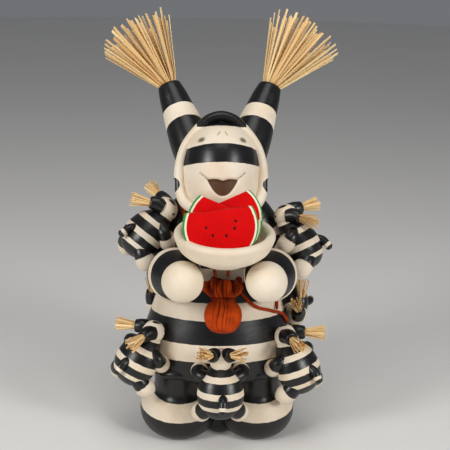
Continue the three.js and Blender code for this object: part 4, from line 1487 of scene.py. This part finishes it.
@dataclass
class Pouch:
    """Gathered suede bag with a ruffled mouth and the thong that ties its neck. Sizes are in mm.

    Attributes:
        suede: What it is made of.
        length: Length from the ruffle's edge to the bottom.
        half_width: Half its width.
        half_depth: Half its depth.
        lean: How far it leans to lie on the belly.
        at: Middle of the ruffle's edge.
        tie_at: Place of the tie, as a share of the length.
        tie_radius: Radius of the thong that ties it.
    """

    suede: Coat
    length: float = 54.0
    half_width: float = 18.0
    half_depth: float = 8.5
    lean: float = -0.28
    at: Triple = (2.0, -58.0, 171.0)
    tie_at: float = 0.38
    tie_radius: float = 1.3

    def bag(self) -> Skin:
        """A stack of ovals: narrow creases run down from the tied neck, and the ruffle above is crumpled.

        A crease is (1 - |sin(15 turn + drift)|) cubed, cut into the radius. The ruffle's radius is
        multiplied by 1 + waves of 4, 7 and 11 lobes, and its edge goes up and down with the turn.

        Returns:
            The bag, its mouth turned in.
        """
        w, d, l = self.half_width, self.half_depth, self.length
        levels = [
            (-1, 0.04, 0.04), (-0.995, 0.3, 0.3), (-0.95, 0.64, 0.7), (-0.84, 0.9, 0.95), (-0.7, 1.01, 1),
            (-0.56, 0.95, 1), (-0.45, 0.74, 0.84), (-0.38, 0.59, 0.7), (-0.3, 0.76, 0.86),
            (-0.15, 0.93, 0.95), (-0.02, 0.88, 0.9), (-0.005, 0.8, 0.82), (-0.12, 0.7, 0.68),
            (-0.26, 0.44, 0.4), (-0.33, 0.06, 0.06),
        ]
        skin = oval_stack(sized(levels, l, w, d), 132, 300)
        x, y, z = np.moveaxis(skin.points, -1, 0)
        turn = np.arctan2(y / d, x / w)
        t = -z / l
        drift = 0.8 * np.sin(3 * t * np.pi) + 1.1 * np.sin(2 * turn + 0.6) + 0.7 * np.sin(5 * turn)
        crease = (1 - np.abs(np.sin(15 * turn + drift))) ** 3 * (0.65 + 0.35 * np.sin(4 * turn + 2))
        sag = np.clip((t - self.tie_at) / (1 - self.tie_at), 0, 1)
        crumple = np.clip((0.4 - t) / 0.3, 0, 1)
        lobes = 0.5 * np.sin(4 * turn + 0.7 + 5 * t) + 0.55 * np.sin(7 * turn - 1.3 - 7 * t)
        lobes += 0.35 * np.sin(11 * turn + 2.2 + 9 * t)
        factor = 1 - 0.15 * crease * (1 - sag) ** 0.7 + 0.24 * crumple * lobes
        z = z + crumple * (2.2 * np.sin(3 * turn + 1) + 1.2 * np.sin(8 * turn) - 2.2)
        inside = (np.arange(t.shape[1])[None, :, None] > t.shape[1] * 0.8) & (t < 0.5)
        # Painted shade: darker in the creases, in the dips of the ruffle's lobes and inside the mouth.
        fold_shade = 1.3 * crease * (1 - 0.5 * sag) + crumple * (0.35 - 0.7 * lobes) + 1.2 * inside
        skin.points = np.stack([x * factor, y * factor, z], -1)
        return skin.painted("fold_shade", fold_shade)

    def tie(self) -> Skin:
        """Hoop round the neck of the bag: line(turn) + radius x (cos bead x outward + sin bead x up)."""
        turn, bead = turns(96)[:, None, None], turns(12)[None, :, None]
        outward = np.concatenate([np.cos(turn), np.sin(turn), 0 * turn], -1)
        section = np.cos(bead) * outward + np.sin(bead) * np.array([0, 0, 1.0])
        line = outward * (0.6 * self.half_width, 0.74 * self.half_depth, 1)
        line = line - (0, 0, self.tie_at * self.length)
        # The tie is painted evenly darker, at a share of 0.5.
        return Skin(line + self.tie_radius * section, looped=True).painted("fold_shade", 0.5)

    def build(self) -> bpy.types.Object:
        """Lays the bag and its tie on the belly."""
        place = tipped(self.at, self.lean)
        return self.suede.piece("suede_pouch", "pouch", [self.bag().moved(place), self.tie().moved(place)])


@dataclass
class Lace:
    """Flat suede thong that follows its solid's own route. Sizes are in mm.

    Attributes:
        node: The solid that it stands for.
        route: Points of its middle line.
        suede: What it is made of.
        ends: How it ends and lies; not used.
        width: Width of the thong; not used.
        half_widths: Half its shown width at evenly spaced places along it.
        squash: Its thickness as a share of the width.
        around: Place in the body that its flat side faces.
    """

    node: str
    route: Sequence[Triple]
    suede: Coat
    ends: Ends = Ends.LOOSE
    width: float = 3.0
    half_widths: Sequence[float] = (1.7, 1.9, 1.9, 1.7)
    squash: float = 0.75
    around: Triple = (0.0, 0.0, 200.0)

    def build(self) -> bpy.types.Object:
        """A flattened tube whose flat side faces the body; its measured length is logged.

        Returns:
            The thong.
        """
        route = np.asarray(self.route, float)
        outward = unit(route - np.asarray(self.around))
        across = np.cross(outward, unit(np.gradient(route, axis=0)))
        limb = Limb(route, self.half_widths, across, squash=self.squash)
        skin, length, _ = limb.build(12 * len(route), 16)
        middle = ((skin.points[0].mean(1) + SHIFT) * MM).tolist()
        # Painted shade: the whole thong is evenly darkened, at a share of 0.25.
        thing = self.suede.piece("thong_" + self.node, self.node, [skin.painted("fold_shade", 0.25)])
        log.info("%s: %.1f mm long", thing.name, length[-1])
        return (thing, self.width * MM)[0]


# Studio


@dataclass
class Studio:
    """Camera at the photograph's angle, pale floor and soft lights. Sizes are in metres.

    Attributes:
        distance: From the camera to its target.
        elevation: How far it looks down.
        yaw: How far it stands to the figure's right.
        roll: How far it is turned about its own line of sight.
        lens: Its lens, in mm.
        shift: How far the picture is shifted, as a share of its width.
        target: What it looks at.
        room: Colour of the light from all round.
        room_strength: How strong that is.
    """

    distance: float = 1.05
    elevation: float = math.radians(17)
    yaw: float = math.radians(3)
    roll: float = math.radians(1.2)
    lens: float = 84.0
    shift: float = 6 / 450
    target: Triple = (0.0034, 0.01745, 0.2056)
    room: Triple = (0.6, 0.62, 0.66)
    room_strength: float = 0.27

    def camera(self) -> None:
        """Looks down at the middle of the figure from a little to its right."""
        c = math.cos(self.elevation)
        away = Vector((-c * math.sin(self.yaw), -c * math.cos(self.yaw), math.sin(self.elevation)))
        eye = bpy.data.objects.new("camera", bpy.data.cameras.new("camera"))
        bpy.context.scene.collection.objects.link(eye)
        eye.data.lens, eye.data.sensor_width = self.lens, 36.0
        eye.data.shift_x = self.shift
        eye.location = Vector(self.target) + away * self.distance
        eye.rotation_mode = "QUATERNION"
        eye.rotation_quaternion = (-away).to_track_quat("-Z", "Y") @ Quaternion((0, 0, 1), self.roll)
        bpy.context.scene.camera = eye

    def floor(self, material: bpy.types.Material) -> None:
        """Flat round sheet under the figure: a many-sided middle and two rings of quads round it."""
        turn = turns(96)
        reach = np.array([0.5, 1.5, 4.0])[:, None]
        rings = np.stack([reach * np.cos(turn), reach * np.sin(turn), 0 * reach * turn], -1).reshape(-1, 3)
        here = np.arange(len(turn))
        beside = (here + 1) % len(turn)
        strip = np.stack([here, beside, beside + len(turn), here + len(turn)], -1)
        quads = np.concatenate([strip, strip + len(turn)]).tolist()
        mesh = bpy.data.meshes.new("floor")
        mesh.from_pydata(rings, [], [here.tolist(), *quads])
        sheet = bpy.data.objects.new("floor", mesh)
        mesh.materials.append(material)
        bpy.context.scene.collection.objects.link(sheet)

    def lamp(self, name: str, at: Triple, size: float, power: float, warm: float) -> None:
        """One square soft light that faces the figure.

        Args:
            name: Its name.
            at: Its place.
            size: Its side.
            power: Watts.
            warm: 0 for neutral, 1 for warm.
        """
        light = bpy.data.lights.new(name, "AREA")
        light.size, light.energy = size, power
        light.color = (1.0, 1.0 - 0.08 * warm, 1.0 - 0.18 * warm)
        thing = bpy.data.objects.new(name, light)
        thing.location = at
        thing.rotation_euler = (Vector(self.target) - Vector(at)).to_track_quat("-Z", "Y").to_euler()
        bpy.context.scene.collection.objects.link(thing)

    def lights(self) -> None:
        """Two softboxes in front, one light above, and an even grey room."""
        self.lamp("softbox_left", (-1.2, -0.95, 0.84), 0.5, 13.5, 0.15)
        self.lamp("softbox_right", (1.1, -1.05, 0.78), 0.42, 12, 0.15)
        self.lamp("overhead", (0.0, -0.4, 1.6), 0.9, 6, 0.1)
        world = bpy.data.worlds.new("room")
        world.use_nodes = True
        room = world.node_tree.nodes["Background"].inputs
        room["Color"].default_value = (*self.room, 1)
        room["Strength"].default_value = self.room_strength
        bpy.context.scene.world = world
        bpy.context.scene.view_settings.view_transform = "Standard"


# Places

NECK_HALF = [
    (-6, -60.8, 172.8), (-6.3, -59.5, 177), (-8, -55, 183), (-11.5, -48.5, 190), (-16, -42.5, 197),
    (-22, -37, 205), (-29, -29.5, 213.5), (-34.5, -20.5, 220), (-36.5, -15.5, 225.5), (-39.5, -10, 230.5),
    (-41.5, -2, 233.5), (-42, 7, 233.5), (-37, 16, 232.5), (-26, 25.5, 230.5), (-13.5, 32.3, 227.3),
    (0, 34.8, 225.7),
]
NECK_HALF_WIDTHS = (1.5, 1.6, 2.2, 2.3, 1.9, 1.5, 1.5, 1.5, 1.5, 1.5, 1.9, 2.1, 2.0, 1.6, 1.5)
TAIL = [
    (17.4, -57.4, 155.8), (19.3, -55.2, 154.5), (21.3, -53.8, 152), (24.5, -53, 148), (27.7, -53.1, 144.4),
    (31, -52, 141), (34.4, -50.8, 138.3), (38, -49, 136), (42.2, -47, 134.2), (46.5, -44.5, 132.5),
    (50, -41.9, 130.7), (53.5, -39, 128.5), (56.8, -36.2, 127), (60, -33, 125), (63.4, -29.1, 122.1),
    (66, -26, 118.5), (70, -23, 111.5),
]
OTHER_END = [
    (57, -37.8, 130.7), (57.3, -35.2, 132), (57.4, -32.9, 133.2), (57.5, -30.9, 135), (57.8, -29.5, 137.5),
    (58.8, -28.9, 140.5), (60.4, -28.8, 143.4), (62.3, -28, 145.6), (64.6, -26.2, 147.4),
    (66.8, -23.7, 150), (68.6, -20.9, 153), (69.6, -17.4, 156.1), (70.1, -13.5, 159),
    (70.1, -9.5, 161.6), (70, -5.5, 164),
]
OTHER_END_HALF_WIDTHS = (1.6, 2.3, 2.5, 2.5, 2.4)

# Where each small clown clings: middle, way up, belly, gaze, crown, and what else is its own
CLIMBERS: dict[str, tuple[Triple, Triple, Triple, Triple, Triple, dict[str, float]]] = {
    "upper_right_arm": (
        (-73, -25, 205), (0.68, 0.28, 0.68), (0.6, 0.48, -0.64), (0.8, -0.35, -0.45), (0.35, -0.25, 0.9), {},
    ),
    "upper_left_arm": (
        (80, -25, 195), (-0.53, 0.28, 0.8), (-0.8, 0.1, -0.55), (-0.95, 0.2, -0.15), (-0.15, -0.2, 0.97), {},
    ),
    "lower_right_leg": (
        (-80, -58, 86), (0.5, 0.2, 0.84), (0.6, 0.73, -0.35), (0.92, 0.38, 0), (0.1, -0.2, 0.98), {},
    ),
    "lower_middle": (
        (0, -90, 66), (0, 0.34, 1), (0, 1, 0), (0, 0.85, -0.5), (0, 0.5, 0.85),
        {"hand_height": 19, "bow": 0.3, "cuff": 19},
    ),
    "lower_left_leg": (
        (77, -60, 79), (-0.38, 0.25, 0.88), (-0.55, 0.78, -0.35), (-0.72, 0.66, -0.1), (-0.12, 0.02, 0.98),
        {"size": 1.03},
    ),
    "rear_left_hip": (
        (80, 30, 109), (-0.05, -1, 0.06), (-1, -0.2, 0), (0, 0.32, -0.95), (0.97, -0.24, -0.08), {},
    ),
    "rear_right_hip": (
        (-42, 48, 104), (-0.6, -0.75, 0.25), (0.75, -0.6, 0), (-0.1, -0.2, -0.95), (-0.95, 0.35, 0.03), {},
    ),
}

# Where each melon slice stands: middle, lean, roll and turn
SLICES = {
    "melon_slice_front": ((-5, -117, 240), 0.16, -0.1, 0.08),
    "melon_slice_left": ((-1, -104.5, 239), 0.24, 0.4, 0.04),
    "melon_slice_right": ((1, -91.5, 240), 0.3, -0.42, 0.0),
}
FAN_OUT = 0.26  # how far the large straw fans lean outwards from the horns' own line


def main() -> None:
    """Builds the camera and cords first, then each piece in order."""
    logging.basicConfig(level=logging.INFO, format="%(message)s")
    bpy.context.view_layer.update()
    studio = Studio()
    studio.camera()
    suede, clay, straw, melon = (
        kind().coat() for kind in (SuedeFinish, ClayFinish, StrawFinish, MelonFinish)
    )
    neck = NECK_HALF + [(-x, y, z) for x, y, z in NECK_HALF[-2::-1]]
    made = [
        Lace("neck_lace", neck, suede, Ends.TIED, half_widths=NECK_HALF_WIDTHS, squash=0.62).build(),
        Lace("lace_tail", TAIL, suede).build(),
        Lace("lace_end", OTHER_END, suede, half_widths=OTHER_END_HALF_WIDTHS, squash=0.6).build(),
    ]
    figure = Figure(clay)
    made.append(figure.build())
    for side, word in ((Side.RIGHT, "right"), (Side.LEFT, "left")):
        tip, along = end_of(figure.horn_path(side))
        fan = unit(along + np.array([side.value * FAN_OUT, 0, 0]))
        made.append(StrawFan(f"horn_tassel_{word}", tip, fan, straw, seed=11 + side.value).build())
    for name, (*ways, own) in CLIMBERS.items():
        made += SmallClown(name, *ways, clay, straw, **own).build()
    made.append(Bowl(clay).build())
    for node, place in SLICES.items():
        made.append(MelonSlice(node, *place, melon).build())
    made.append(Pouch(suede).build())
    for thing in made:
        log.info("%s: %d faces", thing.name, len(thing.data.polygons))
    studio.floor(FloorFinish().material())
    studio.lights()


if __name__ == "__main__":
    main()
